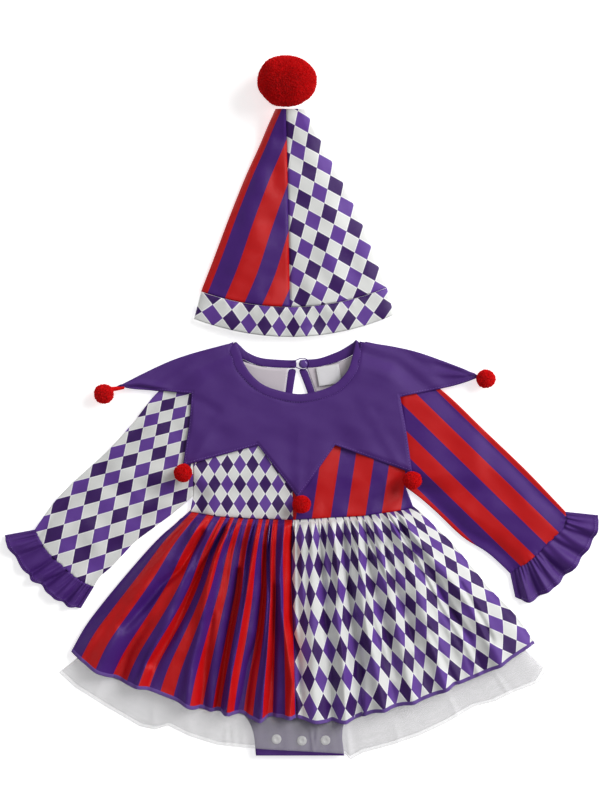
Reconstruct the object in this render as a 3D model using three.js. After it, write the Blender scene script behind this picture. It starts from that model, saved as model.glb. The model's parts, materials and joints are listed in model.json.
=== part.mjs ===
// A baby's clown costume, laid out flat: a romper dress with a jester collar, and its pointed hat.
// Millimetres. X runs to the right of the picture, Y up it (towards the hat), Z up from the table.
// Plan positions are taken from the middle of the waist; the whole group is centred at the end.
import * as THREE from "three";

// ---- Driving dimensions -------------------------------------------------------------------
const CLOTH = 1.2; // wall of the knit and satin cloth
const NET = 1.0; // wall of the net petticoat
const GAP = 0.3; // clearance between pieces that are sewn together
const AIR = 0.5; // clearance between loose layers that lie on each other
const PLY = CLOTH + GAP; // one layer of cloth and its clearance
const ROLL = 1.4; // how far the back cloth lifts from the table at a side seam
const SOFT = 24; // distance over which the front cloth climbs from a side seam
const BODY_PUFF = 5.6; // height of the air between front and back of the bodice
const SLEEVE_PUFF = 5.0; // the same in the sleeves
const HAT_PUFF = 11; // the same in the hat
const COLLAR_LIFT = 1.6; // the back panels ride this high on the back collar
const BINDING = 2.4; // thickness of the folded neck and keyhole binding
const SEAM_INSET = 1.2; // its sewn edge stays this far from the panels
const HAT_BALL = { x: -8, y: 434.5, width: 57, length: 51, height: 50 };
const SMALL_BALL = 18.5; // the five pompoms on the collar
const SNAP = { radius: 4.8, height: 1.7 };

const COLOUR = {
  purple: 0x4b2d70, red: 0xc01018, white: 0xf2f0f4, diamonds: 0x8f7bb5, stripes: 0x8a1f45, net: 0xe6e6e8,
};

// ---- Small helpers ------------------------------------------------------------------------
const clamp = (t) => Math.min(1, Math.max(0, t));
const ease = (t) => clamp(t) ** 2 * (3 - 2 * clamp(t));
const mix = (a, b, t) => a + (b - a) * t;
const bump = (d, width) => Math.exp(-((d / width) ** 2));

// A curve through the given points; t runs evenly from point to point, so that corners are kept.
function line(points, smooth = false) {
  if (smooth) {
    const curve = new THREE.SplineCurve(points.map(([x, y]) => new THREE.Vector2(x, y)));
    return (t) => curve.getPoint(clamp(t)).toArray();
  }
  return (t) => {
    const s = clamp(t) * (points.length - 1);
    const i = Math.min(points.length - 2, Math.floor(s));
    return points[i].map((c, k) => mix(c, points[i + 1][k], s - i));
  };
}

// A plane patch between four edge curves: foot and head run across it, near and far run up it.
function patch({ foot, head, near, far }) {
  return (u, v) => [0, 1].map((k) => {
    const ruled = mix(foot(u)[k], head(u)[k], v) + mix(near(v)[k], far(v)[k], u);
    const corners = mix(mix(foot(0)[k], foot(1)[k], u), mix(head(0)[k], head(1)[k], u), v);
    return ruled - corners;
  });
}

// A plane patch spanned by rays, each a curve from the neck (0) to the outer edge (1).
function fan(rays) {
  return (u, v) => {
    const s = clamp(u) * (rays.length - 1);
    const i = Math.min(rays.length - 2, Math.floor(s));
    const a = rays[i](v), b = rays[i + 1](v);
    return [mix(a[0], b[0], s - i), mix(a[1], b[1], s - i)];
  };
}

// A closed wall between two grids of points of the same shape, rows by columns. With loop on,
// the columns close on themselves, as round a sleeve.
function wall(outer, inner, loop = false) {
  const rows = outer.length, cols = outer[0].length, side = rows * cols;
  const index = [];
  const quad = (a, b, c, d) => index.push(a, b, c, a, c, d);
  const at = (layer, r, c) => layer * side + r * cols + (c % cols);
  const last = loop ? cols : cols - 1;
  for (let r = 0; r < rows - 1; r++)
    for (let c = 0; c < last; c++) {
      quad(at(0, r, c), at(0, r, c + 1), at(0, r + 1, c + 1), at(0, r + 1, c));
      quad(at(1, r, c), at(1, r + 1, c), at(1, r + 1, c + 1), at(1, r, c + 1));
    }
  for (let c = 0; c < last; c++) {
    quad(at(0, 0, c), at(1, 0, c), at(1, 0, c + 1), at(0, 0, c + 1));
    quad(at(0, rows - 1, c + 1), at(1, rows - 1, c + 1), at(1, rows - 1, c), at(0, rows - 1, c));
  }
  if (!loop)
    for (let r = 0; r < rows - 1; r++) {
      quad(at(0, r, 0), at(0, r + 1, 0), at(1, r + 1, 0), at(1, r, 0));
      quad(at(0, r + 1, cols - 1), at(0, r, cols - 1), at(1, r, cols - 1), at(1, r + 1, cols - 1));
    }
  return outward([...outer, ...inner].flat(), index);
}

// A geometry with its faces turned to point out of the solid.
function outward(points, index) {
  let volume = 0;
  const v = points.map((p) => new THREE.Vector3(...p));
  for (let i = 0; i < index.length; i += 3)
    volume += v[index[i]].dot(v[index[i + 1]].clone().cross(v[index[i + 2]]));
  if (volume < 0)
    for (let i = 0; i < index.length; i += 3) [index[i + 1], index[i + 2]] = [index[i + 2], index[i + 1]];
  const geometry = new THREE.BufferGeometry();
  geometry.setAttribute("position", new THREE.Float32BufferAttribute(points.flat(), 3));
  geometry.setIndex(index);
  geometry.computeVertexNormals();
  return geometry;
}

const grid = (rows, cols, point) =>
  Array.from({ length: rows + 1 }, (_, r) => Array.from({ length: cols + 1 }, (_, c) => point(c / cols, r / rows)));

// One panel of cloth: at(u, v) is its plan, under(x, y, u, v) the height of its lower face.
function panel({ rows, cols, at, under, thick = CLOTH }) {
  const lower = grid(rows, cols, (u, v) => {
    const [x, y] = at(u, v);
    return [x, y, under(x, y, u, v)];
  });
  return wall(lower.map((row) => row.map(([x, y, z]) => [x, y, z + thick])), lower);
}

// A tube of cloth pressed flat: across(u, v) is its plan from one fold to the other, low and
// high the heights of its lowest and highest faces.
function flatTube({ rows, cols, across, low, high, thick = CLOTH }) {
  const ring = (v, inset) => {
    const face = (u, top) => {
      const s = inset ? mix(0.5, u, 1 - inset / edgeWidth(v)) : u;
      const [x, y] = across(s, v), [ox, oy] = across(u, v);
      return [x, y, top ? high(ox, oy, u, v) - (inset ? thick : 0) : low(ox, oy, u, v) + (inset ? thick : 0)];
    };
    const steps = Array.from({ length: cols + 1 }, (_, c) => c / cols);
    return [...steps.map((u) => face(u, true)), ...steps.map((u) => face(1 - u, false))];
  };
  const edgeWidth = (v) => 0.5 * Math.hypot(...[0, 1].map((k) => across(1, v)[k] - across(0, v)[k]));
  const stations = Array.from({ length: rows + 1 }, (_, r) => r / rows);
  return wall(stations.map((v) => ring(v, 0)), stations.map((v) => ring(v, thick)), true);
}

// A folded strip of cloth, given by stations with its free edge, its sewn edge and its height.
function strip(stations, steps, thick = BINDING) {
  const curve = (pick) => new THREE.CatmullRomCurve3(stations.map((s) => new THREE.Vector3(...pick(s))), false, "centripetal");
  const free = curve((s) => [...s.free, s.z]), sewn = curve((s) => [...s.sewn, s.z]);
  const section = [[-1, -0.5], [-0.75, -1], [0.75, -1], [1, -0.5], [1, 0.5], [0.75, 1], [-0.75, 1], [-1, 0.5]];
  const points = [];
  for (let i = 0; i <= steps; i++) {
    const t = i / steps, dt = 0.5 / steps;
    const a = free.getPoint(t), b = sewn.getPoint(t);
    b.lerp(a, SEAM_INSET / a.distanceTo(b));
    const middle = a.clone().lerp(b, 0.5), across = b.clone().sub(a).multiplyScalar(0.5);
    const ahead = free.getPoint(clamp(t + dt)).add(sewn.getPoint(clamp(t + dt)));
    const along = ahead.sub(free.getPoint(clamp(t - dt)).add(sewn.getPoint(clamp(t - dt))));
    const up = along.cross(across).normalize().multiplyScalar(thick / 2);
    points.push(section.map(([w, h]) => middle.clone().addScaledVector(across, w).addScaledVector(up, h).toArray()));
  }
  const n = section.length, index = [];
  for (let i = 0; i < steps; i++)
    for (let k = 0; k < n; k++) {
      const a = i * n + k, b = i * n + ((k + 1) % n);
      index.push(a, b, b + n, a, b + n, a + n);
    }
  for (let k = 1; k < n - 1; k++) index.push(0, k + 1, k, steps * n, steps * n + k, steps * n + k + 1);
  return outward(points.flat(), index);
}

// A pompom: a ball that is a little uneven, resting with its middle at the given height.
function pompom({ x, y, z, width, length = width, height = width, detail = 2 }) {
  const ball = new THREE.IcosahedronGeometry(0.5, detail);
  const p = ball.getAttribute("position");
  for (let i = 0; i < p.count; i++) {
    const d = new THREE.Vector3().fromBufferAttribute(p, i);
    const lump = 1 + 0.02 * Math.sin(9 * d.x + 4 * d.y) + 0.02 * Math.cos(8 * d.y - 7 * d.z);
    p.setXYZ(i, x + d.x * width * lump, y + d.y * length * lump, z + d.z * height * lump);
  }
  return ball;
}

// ---- The outline of the laid-out dress ----------------------------------------------------
// Each closed edge is a fold or a side seam of the flattened garment.
const EDGE = {
  leftShoulder: [[-68, 167], [-100, 153], [-137, 123], [-162, 92], [-187, 65], [-220, 36], [-237, 19], [-260, -14]],
  leftSide: [[-201, -71.5], [-192, -57], [-159, -26], [-119, 4], [-102, 19], [-105, 3], [-118, -9], [-137, -30],
    [-162, -61], [-188, -93], [-207, -115], [-224, -135]],
  rightSide: [[215, -58], [187, -32], [165, -20], [141, 3], [111.5, 27], [119, 7], [138, -8], [157, -22], [170, -39],
    [185, -61], [218, -102], [240, -128]],
  rightShoulder: [[70, 169], [103, 158], [149, 123], [187, 87], [227, 49], [253, 22], [270, 4]],
};
const OUTLINE = [...EDGE.leftShoulder, [-300, -100], ...EDGE.leftSide, [-240, -320], [260, -320],
  ...[...EDGE.rightSide].reverse(), [310, -90], ...[...EDGE.rightShoulder].reverse(), [60, 240], [-60, 240]];

function distanceTo(points, x, y) {
  let best = Infinity;
  for (let i = 0; i + 1 < points.length; i++) {
    const [ax, ay] = points[i], [bx, by] = points[i + 1];
    const t = clamp(((x - ax) * (bx - ax) + (y - ay) * (by - ay)) / ((bx - ax) ** 2 + (by - ay) ** 2));
    best = Math.min(best, Math.hypot(x - mix(ax, bx, t), y - mix(ay, by, t)));
  }
  return best;
}

function inside(points, x, y) {
  let odd = false;
  for (let i = 0, j = points.length - 1; i < points.length; j = i++) {
    const [ax, ay] = points[i], [bx, by] = points[j];
    if (ay > y !== by > y && x < ax + ((bx - ax) * (y - ay)) / (by - ay)) odd = !odd;
  }
  return odd;
}

// Distance in from the nearest fold or side seam; below nought outside the garment.
function depth(x, y) {
  const d = Math.min(...Object.values(EDGE).map((edge) => distanceTo(edge, x, y)));
  return inside(OUTLINE, x, y) || d < 0.6 ? d : -d;
}

// ---- Heights of the layers ----------------------------------------------------------------
// Largest folds of bodice and sleeves: from and to in plan, how wide, how high (a valley is < 0).
const BODY_FOLDS = [
  { from: [100, 34], to: [72, 18], wide: 5, high: 1.6 },
  { from: [108, 20], to: [84, 6], wide: 4, high: -1.2 },
  { from: [-96, 34], to: [-74, 16], wide: 5, high: 1.3 },
  { from: [-120, 18], to: [-150, 20], wide: 5, high: -1.3 },
  { from: [-112, 30], to: [-160, 46], wide: 7, high: 1.4 },
  { from: [-196, -40], to: [-208, 6], wide: 8, high: 1.2 },
  { from: [124, 34], to: [168, 44], wide: 7, high: 1.5 },
  { from: [132, 20], to: [170, 22], wide: 5, high: -1.3 },
  { from: [206, -34], to: [226, 6], wide: 8, high: 1.2 },
  { from: [-40, 2], to: [-30, 60], wide: 14, high: 1.0 },
  { from: [46, 4], to: [56, 56], wide: 12, high: 1.0 },
];

function folds(table, x, y) {
  return table.reduce((sum, { from, to, wide, high }) => {
    const [dx, dy] = [to[0] - from[0], to[1] - from[1]];
    const t = ((x - from[0]) * dx + (y - from[1]) * dy) / (dx * dx + dy * dy);
    const off = Math.hypot(x - from[0] - clamp(t) * dx, y - from[1] - clamp(t) * dy);
    return sum + high * bump(off, wide) * (1 - 0.7 * clamp(t));
  }, 0);
}

const onCollar = (x, y) => ease((y - 24) / 20) * (1 - ease((Math.abs(x) - 180) / 16));
const lowFace = (x, y) => COLLAR_LIFT * onCollar(x, y) + ROLL * (1 - ease(depth(x, y) / 9));
const puff = (x) => mix(BODY_PUFF, SLEEVE_PUFF, ease((Math.abs(x) - 95) / 60));
function highFace(x, y) {
  const d = depth(x, y);
  return lowFace(x, y) + PLY + ease(d / SOFT) * (puff(x) + folds(BODY_FOLDS, x, y));
}

// ---- Bodice -------------------------------------------------------------------------------
// The keyhole: outer edges of its binding, where the back panels end, from the neck down.
const KEYHOLE = {
  left: [[-7, 146.7], [-10.2, 122], [-12, 108], [-9, 91], [-2.3, 79]],
  right: [[12, 146.7], [21, 121.5], [21.8, 108], [17, 91], [-1.7, 79]],
};
const WAIST = [[-105, 3], [-74, -2], [-38, -4], [-2, -5], [34, -3], [69, -1], [105, 4], [119, 7]];
const waistY = (x) => {
  const i = Math.max(0, Math.min(WAIST.length - 2, WAIST.findIndex(([wx]) => wx > x) - 1));
  return mix(WAIST[i][1], WAIST[i + 1][1], clamp((x - WAIST[i][0]) / (WAIST[i + 1][0] - WAIST[i][0])));
};
const FRONT_NECK = {
  left: [[-2.2, 112], [-17, 114.8], [-35, 121.5], [-50.5, 134.5], [-61.5, 151.5], [-68.5, 165.5]],
  right: [[-1.8, 112], [26, 115.2], [45.5, 123.3], [61.5, 141.5], [67.5, 155], [70.5, 168]],
};
const BACK_NECK = {
  left: [[-7, 146.7], [-27, 147.5], [-40, 150], [-54, 154.5], [-65, 162], [-68.5, 165.5]],
  right: [[12, 146.7], [31, 149.3], [44, 153], [58, 159], [67, 164], [70.5, 168]],
};
const ARMHOLE = {
  left: [[-104.7, 3.4], [-101.7, 19.5], [-100.5, 86], [-100.2, 152.2], [-68.5, 165.5]],
  right: [[118.5, 7.4], [111, 27], [107, 90], [103, 157.3], [70.5, 168]],
};

function bodicePanel(side, front) {
  const sign = side === "left" ? -1 : 1;
  const seam = -2 + 0.15 * sign;
  const neck = (front ? FRONT_NECK : BACK_NECK)[side];
  const inner = front ? [[seam, -4.6], [seam, 112]] : [[seam, -4.6], [seam, 40], ...[...KEYHOLE[side]].reverse()];
  const foot = line(Array.from({ length: 7 }, (_, i) => {
    const x = mix(seam, ARMHOLE[side][0][0], i / 6);
    return [x, waistY(x) + 0.4];
  }));
  return panel({
    rows: 8, cols: 6,
    at: patch({ foot, head: line(neck), near: line(inner), far: line(ARMHOLE[side]) }),
    under: front ? highFace : lowFace,
  });
}

// ---- Sleeves ------------------------------------------------------------------------------
const SLEEVE = {
  left: { outer: [[-101, 152], [-137, 123], [-162, 92], [-187, 65], [-220, 36], [-237, 19], [-260, -14]],
    inner: [[-102.3, 19], [-119, 4], [-139, -11], [-159, -26], [-179, -47], [-192, -57], [-201, -71.5]] },
  right: { outer: [[103.6, 157], [149, 123], [187, 87], [227, 49], [253, 22], [270, 4]],
    inner: [[112.4, 26], [125, 17], [141, 3], [165, -20], [187, -32], [215, -58]] },
};
// The cuff ruffle: its seam with the sleeve, its hem, and its folds across the width.
const RUFFLE = {
  left: {
    seam: [[-260.3, -14.5], [-256, -25], [-245, -40], [-232, -52], [-220, -62.5], [-209, -69.5], [-201.2, -72]],
    hem: [[-290, -20], [-284, -35], [-269, -57], [-257, -68], [-240, -82], [-225, -91], [-214, -93]],
    folds: [[0.14, 0.05, 2.6], [0.3, 0.05, -1.4], [0.44, 0.06, 3.4], [0.56, 0.04, -1.8], [0.72, 0.07, 2.8], [0.88, 0.04, 1.6]],
  },
  right: {
    seam: [[270.4, 3.4], [272, -9], [261, -21], [246, -36], [236, -45], [225, -53], [215, -58.5]],
    hem: [[303, 0], [300, -20], [288, -40], [270, -61], [252, -76], [234, -86], [220, -82]],
    folds: [[0.12, 0.05, 2.2], [0.26, 0.05, -1.5], [0.4, 0.06, 3.2], [0.54, 0.05, -1.6], [0.68, 0.05, 2.8], [0.86, 0.06, 2.4]],
  },
};

const sleeveHigh = (x, y) => highFace(x, y) + CLOTH;

// The tube ends on its curved seam with the ruffle, a little short of it.
function sleeve(side) {
  const outer = line(SLEEVE[side].outer), inner = line(SLEEVE[side].inner), cuff = line(RUFFLE[side].seam);
  const back = side === "left" ? [0.4, 0.4] : [-0.4, 0.4];
  return flatTube({
    rows: 8, cols: 7,
    across: (u, v) => [0, 1].map((k) => mix(mix(outer(v)[k], inner(v)[k], u), cuff(u)[k] + back[k], v ** 5)),
    low: lowFace, high: sleeveHigh,
  });
}

function cuffRuffle(side) {
  const { seam, hem, folds: creases } = RUFFLE[side];
  const top = line(seam), foot = line(hem);
  const rise = (u, v) => mix(SLEEVE_PUFF * 0.8, 3.2, v) * ease(Math.min(u, 1 - u) / 0.22)
    + v * ease(Math.min(u, 1 - u) / 0.1) * creases.reduce((s, [at, wide, high]) => s + high * bump(u - at, wide), 0);
  const low = (x, y, u) => 0.9 * (1 - ease(Math.min(u, 1 - u) / 0.1));
  return flatTube({
    rows: 2, cols: 16,
    across: (u, v) => [0, 1].map((k) => mix(top(u)[k], foot(u)[k], v)),
    low, high: (x, y, u, v) => low(x, y, u) + 2 * CLOTH + GAP + Math.max(0, rise(u, v)),
  });
}

// ---- Skirt, petticoat and romper ----------------------------------------------------------
const HEM = {
  left: [[1, -201], [-18, -201], [-37, -204], [-59, -198], [-94, -194], [-122, -183], [-151, -172], [-180, -164],
    [-209, -148], [-223.5, -136]],
  right: [[1.6, -201], [24, -206], [58, -204.5], [74, -198], [96, -192], [124, -185], [156, -172], [198, -154],
    [225, -138], [239.5, -128.6]],
};
// Gathers of each half of the skirt: share of the way from centre seam to side seam at the waist
// and at the hem, width there as a share, and height in mm (a valley is below nought).
const GATHERS = {
  left: [
    { waist: 0.06, hem: 0.04, wide: 0.05, top: 2.4, foot: 4.2 },
    { waist: 0.13, hem: 0.1, wide: 0.04, top: -1.6, foot: -3.2 },
    { waist: 0.2, hem: 0.17, wide: 0.05, top: 3.2, foot: 3.8 },
    { waist: 0.27, hem: 0.24, wide: 0.035, top: -1.4, foot: -3.0 },
    { waist: 0.34, hem: 0.3, wide: 0.05, top: 3.0, foot: 5.0 },
    { waist: 0.41, hem: 0.37, wide: 0.04, top: -1.2, foot: -3.4 },
    { waist: 0.5, hem: 0.46, wide: 0.06, top: 3.4, foot: 4.0 },
    { waist: 0.6, hem: 0.55, wide: 0.045, top: -1.8, foot: -3.6 },
    { waist: 0.7, hem: 0.66, wide: 0.06, top: 2.8, foot: 3.6 },
    { waist: 0.82, hem: 0.78, wide: 0.05, top: 1.4, foot: -2.4 },
  ],
  right: [
    { waist: 0.08, hem: 0.06, wide: 0.05, top: 2.6, foot: 2.8 },
    { waist: 0.17, hem: 0.13, wide: 0.04, top: -1.4, foot: -2.2 },
    { waist: 0.25, hem: 0.2, wide: 0.045, top: 3.2, foot: 4.4 },
    { waist: 0.33, hem: 0.25, wide: 0.035, top: -1.8, foot: -3.8 },
    { waist: 0.42, hem: 0.34, wide: 0.05, top: 3.0, foot: 3.4 },
    { waist: 0.52, hem: 0.44, wide: 0.045, top: -1.2, foot: -2.6 },
    { waist: 0.61, hem: 0.54, wide: 0.05, top: 2.8, foot: 3.2 },
    { waist: 0.7, hem: 0.66, wide: 0.05, top: -1.4, foot: -2.8 },
    { waist: 0.8, hem: 0.8, wide: 0.06, top: 2.4, foot: 2.6 },
  ],
};
const gathers = (side, u, v) => GATHERS[side].reduce((sum, g) =>
  sum + mix(g.top, g.foot, v) * bump(u - mix(g.waist, g.hem, v), g.wide * (1 + 0.3 * v)), 0);

const skirtSide = {
  left: [[-104.7, 2.4], [-118, -9], [-137, -30], [-162, -61], [-188, -93], [-207, -115], [-223.5, -136]],
  right: [[118.6, 6.4], [138, -8], [157, -22], [170, -39], [185, -61], [218, -102], [239.5, -128.6]],
};
const ROMPER = [[-94, -2], [-104, -40], [-112, -90], [-108, -132], [-80, -172], [-46, -206], [-39, -240],
  [49, -240], [50, -206], [84, -172], [114, -130], [120, -90], [112, -40], [104, 0]];
const SNAPS = [[-18.4, -223.5], [7, -225], [30.5, -224.6]];

const GATHER_BACK = 1.0; // the back of the skirt lies flat but for low gathers at the waist
const backGather = (x, y) => 0.5 * GATHER_BACK * (1 + Math.sin(x / 9)) * ease((30 - Math.abs(y + 24)) / 26);
const overSnaps = (x, y) => 2.4 * (1 - ease((distanceTo(SNAPS, x, y) - 16) / 14));
const Z_NET_BACK = CLOTH + GATHER_BACK + GAP;
const Z_ROMPER_BACK = Z_NET_BACK + NET + AIR;
const Z_ROMPER_FRONT = Z_ROMPER_BACK + CLOTH + AIR;
const Z_NET_FRONT = Z_ROMPER_FRONT + CLOTH + AIR;
const skirtBackZ = (x, y) => backGather(x, y) + ROLL * (1 - ease(depth(x, y) / 9));
const netFrontZ = (x) => mix(Z_NET_FRONT, Z_ROMPER_BACK, ease((Math.abs(x - 5) - 118) / 80));

function skirtPanel(side, front) {
  const sign = side === "left" ? -1 : 1;
  const seam = line([[-2 + 0.15 * sign, -5.4], [-3 + 0.15 * sign, -60], [0 + 0.15 * sign, -140], [1.3 + 0.15 * sign, -201]]);
  const end = skirtSide[side][0][0];
  const waist = line(Array.from({ length: 7 }, (_, i) => {
    const x = mix(-2 + 0.15 * sign, end, i / 6);
    return [x, waistY(x) - 0.4];
  }));
  const under = (x, y, u, v) => {
    const d = depth(x, y), base = skirtBackZ(x, y) + PLY + 0.3;
    const stack = netFrontZ(x) + NET + AIR - base;
    const loft = mix(1.2, 1.6, v) + gathers(side, u, v);
    return base + ease((d + 2) / 9) * Math.max(0, stack) + Math.max(0.1, loft) * ease(d / 20);
  };
  return panel({
    rows: front ? 6 : 5, cols: front ? 26 : 8,
    at: patch({ foot: waist, head: line(HEM[side]), near: seam, far: line(skirtSide[side]) }),
    under: front ? under : skirtBackZ,
  });
}

const NET_SIDE = {
  left: [[-92, -3], [-106, -14], [-126, -38], [-150, -68], [-176, -100], [-197, -122], [-215, -140], [-236, -157]],
  right: [[106, 0], [126, -14], [144, -28], [158, -48], [173, -69], [205, -108], [230, -134], [251, -154]],
};
const NET_HEM = [[-236, -157], [-220, -172], [-188, -192], [-155, -211], [-140, -214], [-127, -210], [-107, -220],
  [-79, -229], [-52, -232], [-20, -234], [20, -236], [50, -238], [55, -244], [68, -237], [96, -229.5], [124, -220],
  [152, -207], [179, -191], [200, -186], [216, -178], [244, -167], [251, -154]];

function petticoat(front) {
  const shrink = (points, by) => points.map(([x, y], i) => (i ? [x * (1 - by), y * (1 - by) - by * 4] : [x, y]));
  const by = front ? 0 : 0.012;
  const top = line([[-92, -3], [-38, -6.5], [0, -7.5], [40, -6], [106, 0]]);
  return panel({
    rows: front ? 6 : 4, cols: front ? 28 : 14, thick: NET,
    at: patch({ foot: top, head: line(NET_HEM.map(([x, y]) => [x * (1 - by), y * (1 - by)])),
      near: line(shrink(NET_SIDE.left, by)), far: line(shrink(NET_SIDE.right, by)) }),
    under: (x, y) => (front ? netFrontZ(x) + overSnaps(x, y) : Z_NET_BACK),
  });
}

function romper(front) {
  const by = front ? 0 : 1.5;
  const left = ROMPER.slice(0, 7), right = ROMPER.slice(7).reverse();
  const rim = (points, sign) => line(points.map(([x, y]) => [x - sign * by, y]));
  const foot = front ? -240 : -238;
  return panel({
    rows: 8, cols: 4,
    at: patch({ foot: line([[-94 + by, -6.5], [0, -7.5], [104 - by, -4]]), head: line([[-39 + by, foot], [49 - by, foot]]),
      near: rim([[-94, -6.5], ...left.slice(1, 6), [-39, foot]], -1), far: rim([[104, -4], ...right.slice(1, 6), [49, foot]], 1) }),
    under: () => (front ? Z_ROMPER_FRONT : Z_ROMPER_BACK),
  });
}

function snapCap([x, y]) {
  const { radius: r, height: h } = SNAP;
  const profile = [[0, 0], [r, 0], [r, 0.55 * h], [0.82 * r, 0.9 * h], [0.45 * r, h], [0.3 * r, 0.8 * h], [0, 0.8 * h]];
  const cap = new THREE.LatheGeometry(profile.map(([a, b]) => new THREE.Vector2(a, b)), 12);
  return cap.rotateX(Math.PI / 2).translate(x, y, Z_ROMPER_FRONT + CLOTH + GAP);
}

// ---- Collar -------------------------------------------------------------------------------
// Rays of the jester collar, from its neck edge to its outer edge, left to right.
const COLLAR_FRONT = [
  { name: "left shoulder", neck: [-68, 171], bend: [-122, 155], edge: [-174, 129] },
  { name: "left notch", neck: [-66, 161], edge: [-103, 121.5] },
  { name: "left side", neck: [-62, 151.5], edge: [-105.5, 92] },
  { name: "left point", neck: [-54, 139], edge: [-112, 49] },
  { name: "left valley", neck: [-35, 121.2], edge: [-37, 70] },
  { name: "centre point", neck: [3, 112], edge: [3, 17] },
  { name: "right valley", neck: [40, 120.5], edge: [40, 70] },
  { name: "right point", neck: [60, 139.5], edge: [117, 42] },
  { name: "right side", neck: [66.5, 152], edge: [110.5, 88] },
  { name: "right notch", neck: [69, 161.5], edge: [105, 118] },
  { name: "right shoulder", neck: [70.5, 173.5], bend: [125, 161], edge: [181, 140] },
];
const COLLAR_BACK = {
  left: [
    { name: "shoulder", neck: [-68, 171], bend: [-122, 155], edge: [-174, 128] },
    { name: "notch", neck: [-62, 161], edge: [-103, 120] },
    { name: "point", neck: [-44, 151.5], edge: [-110, 52] },
    { name: "valley", neck: [-25, 147], edge: [-44, 66] },
  ],
  right: [
    { name: "shoulder", neck: [70.5, 173.5], bend: [125, 161], edge: [181, 139] },
    { name: "notch", neck: [64, 163], edge: [104, 117] },
    { name: "point", neck: [48, 154.5], edge: [114, 46] },
    { name: "valley", neck: [29, 149], edge: [46, 66] },
  ],
};
const toRay = ({ neck, bend, edge }) => line(bend ? [neck, bend, edge] : [neck, edge], Boolean(bend));
const tipRise = (x) => 3.2 * ease((Math.abs(x) - 140) / 40);

function collarFront() {
  return panel({
    rows: 5, cols: 20, at: fan(COLLAR_FRONT.map(toRay)),
    under: (x, y) => {
      const d = depth(x, y), over = highFace(x, y) + PLY + 0.8;
      return (d >= 0 ? over : mix(over, 5.2, ease(-d / 10))) + tipRise(x);
    },
  });
}

function collarBack(side) {
  const sign = side === "left" ? -1 : 1;
  const slit = line([...KEYHOLE[side].map(([x, y]) => [x + 0.2 * sign, y]), [-2 + 0.3 * sign, 60]]);
  const rays = [...COLLAR_BACK[side].map(toRay), slit];
  return panel({
    rows: 5, cols: 8, at: fan(rays),
    under: (x, y) => {
      const d = depth(x, y);
      return 0.5 * ROLL * (1 - ease(d / 9)) + (d < 0 ? 2.6 * ease(-d / 10) + tipRise(x) : 0);
    },
  });
}

// ---- Neck ---------------------------------------------------------------------------------
const frontAt = ([x, y]) => highFace(x, y) + 1.35;
const NECK = [
  { free: [-2.4, 155], sewn: [-2.4, 147], z: 1.6 },
  { free: [-10, 155], sewn: [-9, 147], z: 1.6 },
  { free: [-33, 157], sewn: [-27, 148], z: 1.6 },
  { free: [-47, 162.5], sewn: [-41, 151], z: 1.8 },
  { free: [-55, 169.5], sewn: [-54, 157], z: 2.4 },
  { free: [-59, 172.5], sewn: [-66.5, 165.5], z: 5.6 },
  { free: [-54, 161], sewn: [-63, 157], z: 8.4 },
  { free: [-51, 152], sewn: [-60, 147], z: frontAt([-60, 147]) },
  { free: [-43, 140], sewn: [-49.5, 134.8], z: frontAt([-49, 135]) },
  { free: [-31, 130], sewn: [-34.6, 122], z: frontAt([-34, 122]) },
  { free: [-14, 124], sewn: [-16.5, 115.4], z: frontAt([-16, 116]) },
  { free: [5, 121], sewn: [5, 112.8], z: frontAt([5, 113]) },
  { free: [23, 124], sewn: [26, 116], z: frontAt([26, 116]) },
  { free: [39.5, 131], sewn: [45, 124], z: frontAt([45, 124]) },
  { free: [52, 144], sewn: [60.5, 141.5], z: frontAt([60, 142]) },
  { free: [57, 158], sewn: [66, 157], z: 8.6 },
  { free: [60.5, 174], sewn: [68.3, 168], z: 5.6 },
  { free: [57.5, 172], sewn: [59, 161], z: 2.4 },
  { free: [48, 166], sewn: [46, 154.4], z: 1.8 },
  { free: [39.5, 162], sewn: [33, 150.3], z: 1.6 },
  { free: [23, 156.5], sewn: [20, 147.6], z: 1.6 },
  { free: [6, 155.5], sewn: [6.4, 147], z: 1.6 },
];
const KEYHOLE_BINDING = [
  { free: [1.4, 146.3], sewn: [-6.6, 146.3], z: 1.4 },
  { free: [-2.4, 122], sewn: [-9.8, 122], z: 1.4 },
  { free: [-3.6, 109], sewn: [-11.5, 108], z: 1.4 },
  { free: [-0.6, 97.5], sewn: [-8.4, 92], z: 1.4 },
  { free: [5, 91], sewn: [4, 82.4], z: 1.4 },
  { free: [10.6, 97.5], sewn: [15.6, 92], z: 1.4 },
  { free: [13.6, 109], sewn: [21.2, 108], z: 1.4 },
  { free: [12.6, 121.5], sewn: [20.4, 121.5], z: 1.4 },
  { free: [3.2, 146.3], sewn: [11.6, 146.3], z: 1.4 },
];

function neckButton() {
  const profile = [[0, 0], [3.6, 0], [4.4, 0.9], [4.2, 2.0], [2.8, 2.9], [0, 3.2]];
  const dome = new THREE.LatheGeometry(profile.map(([a, b]) => new THREE.Vector2(a, b)), 12);
  return dome.rotateX(Math.PI / 2).translate(8.4, 151, 3.15);
}

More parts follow.
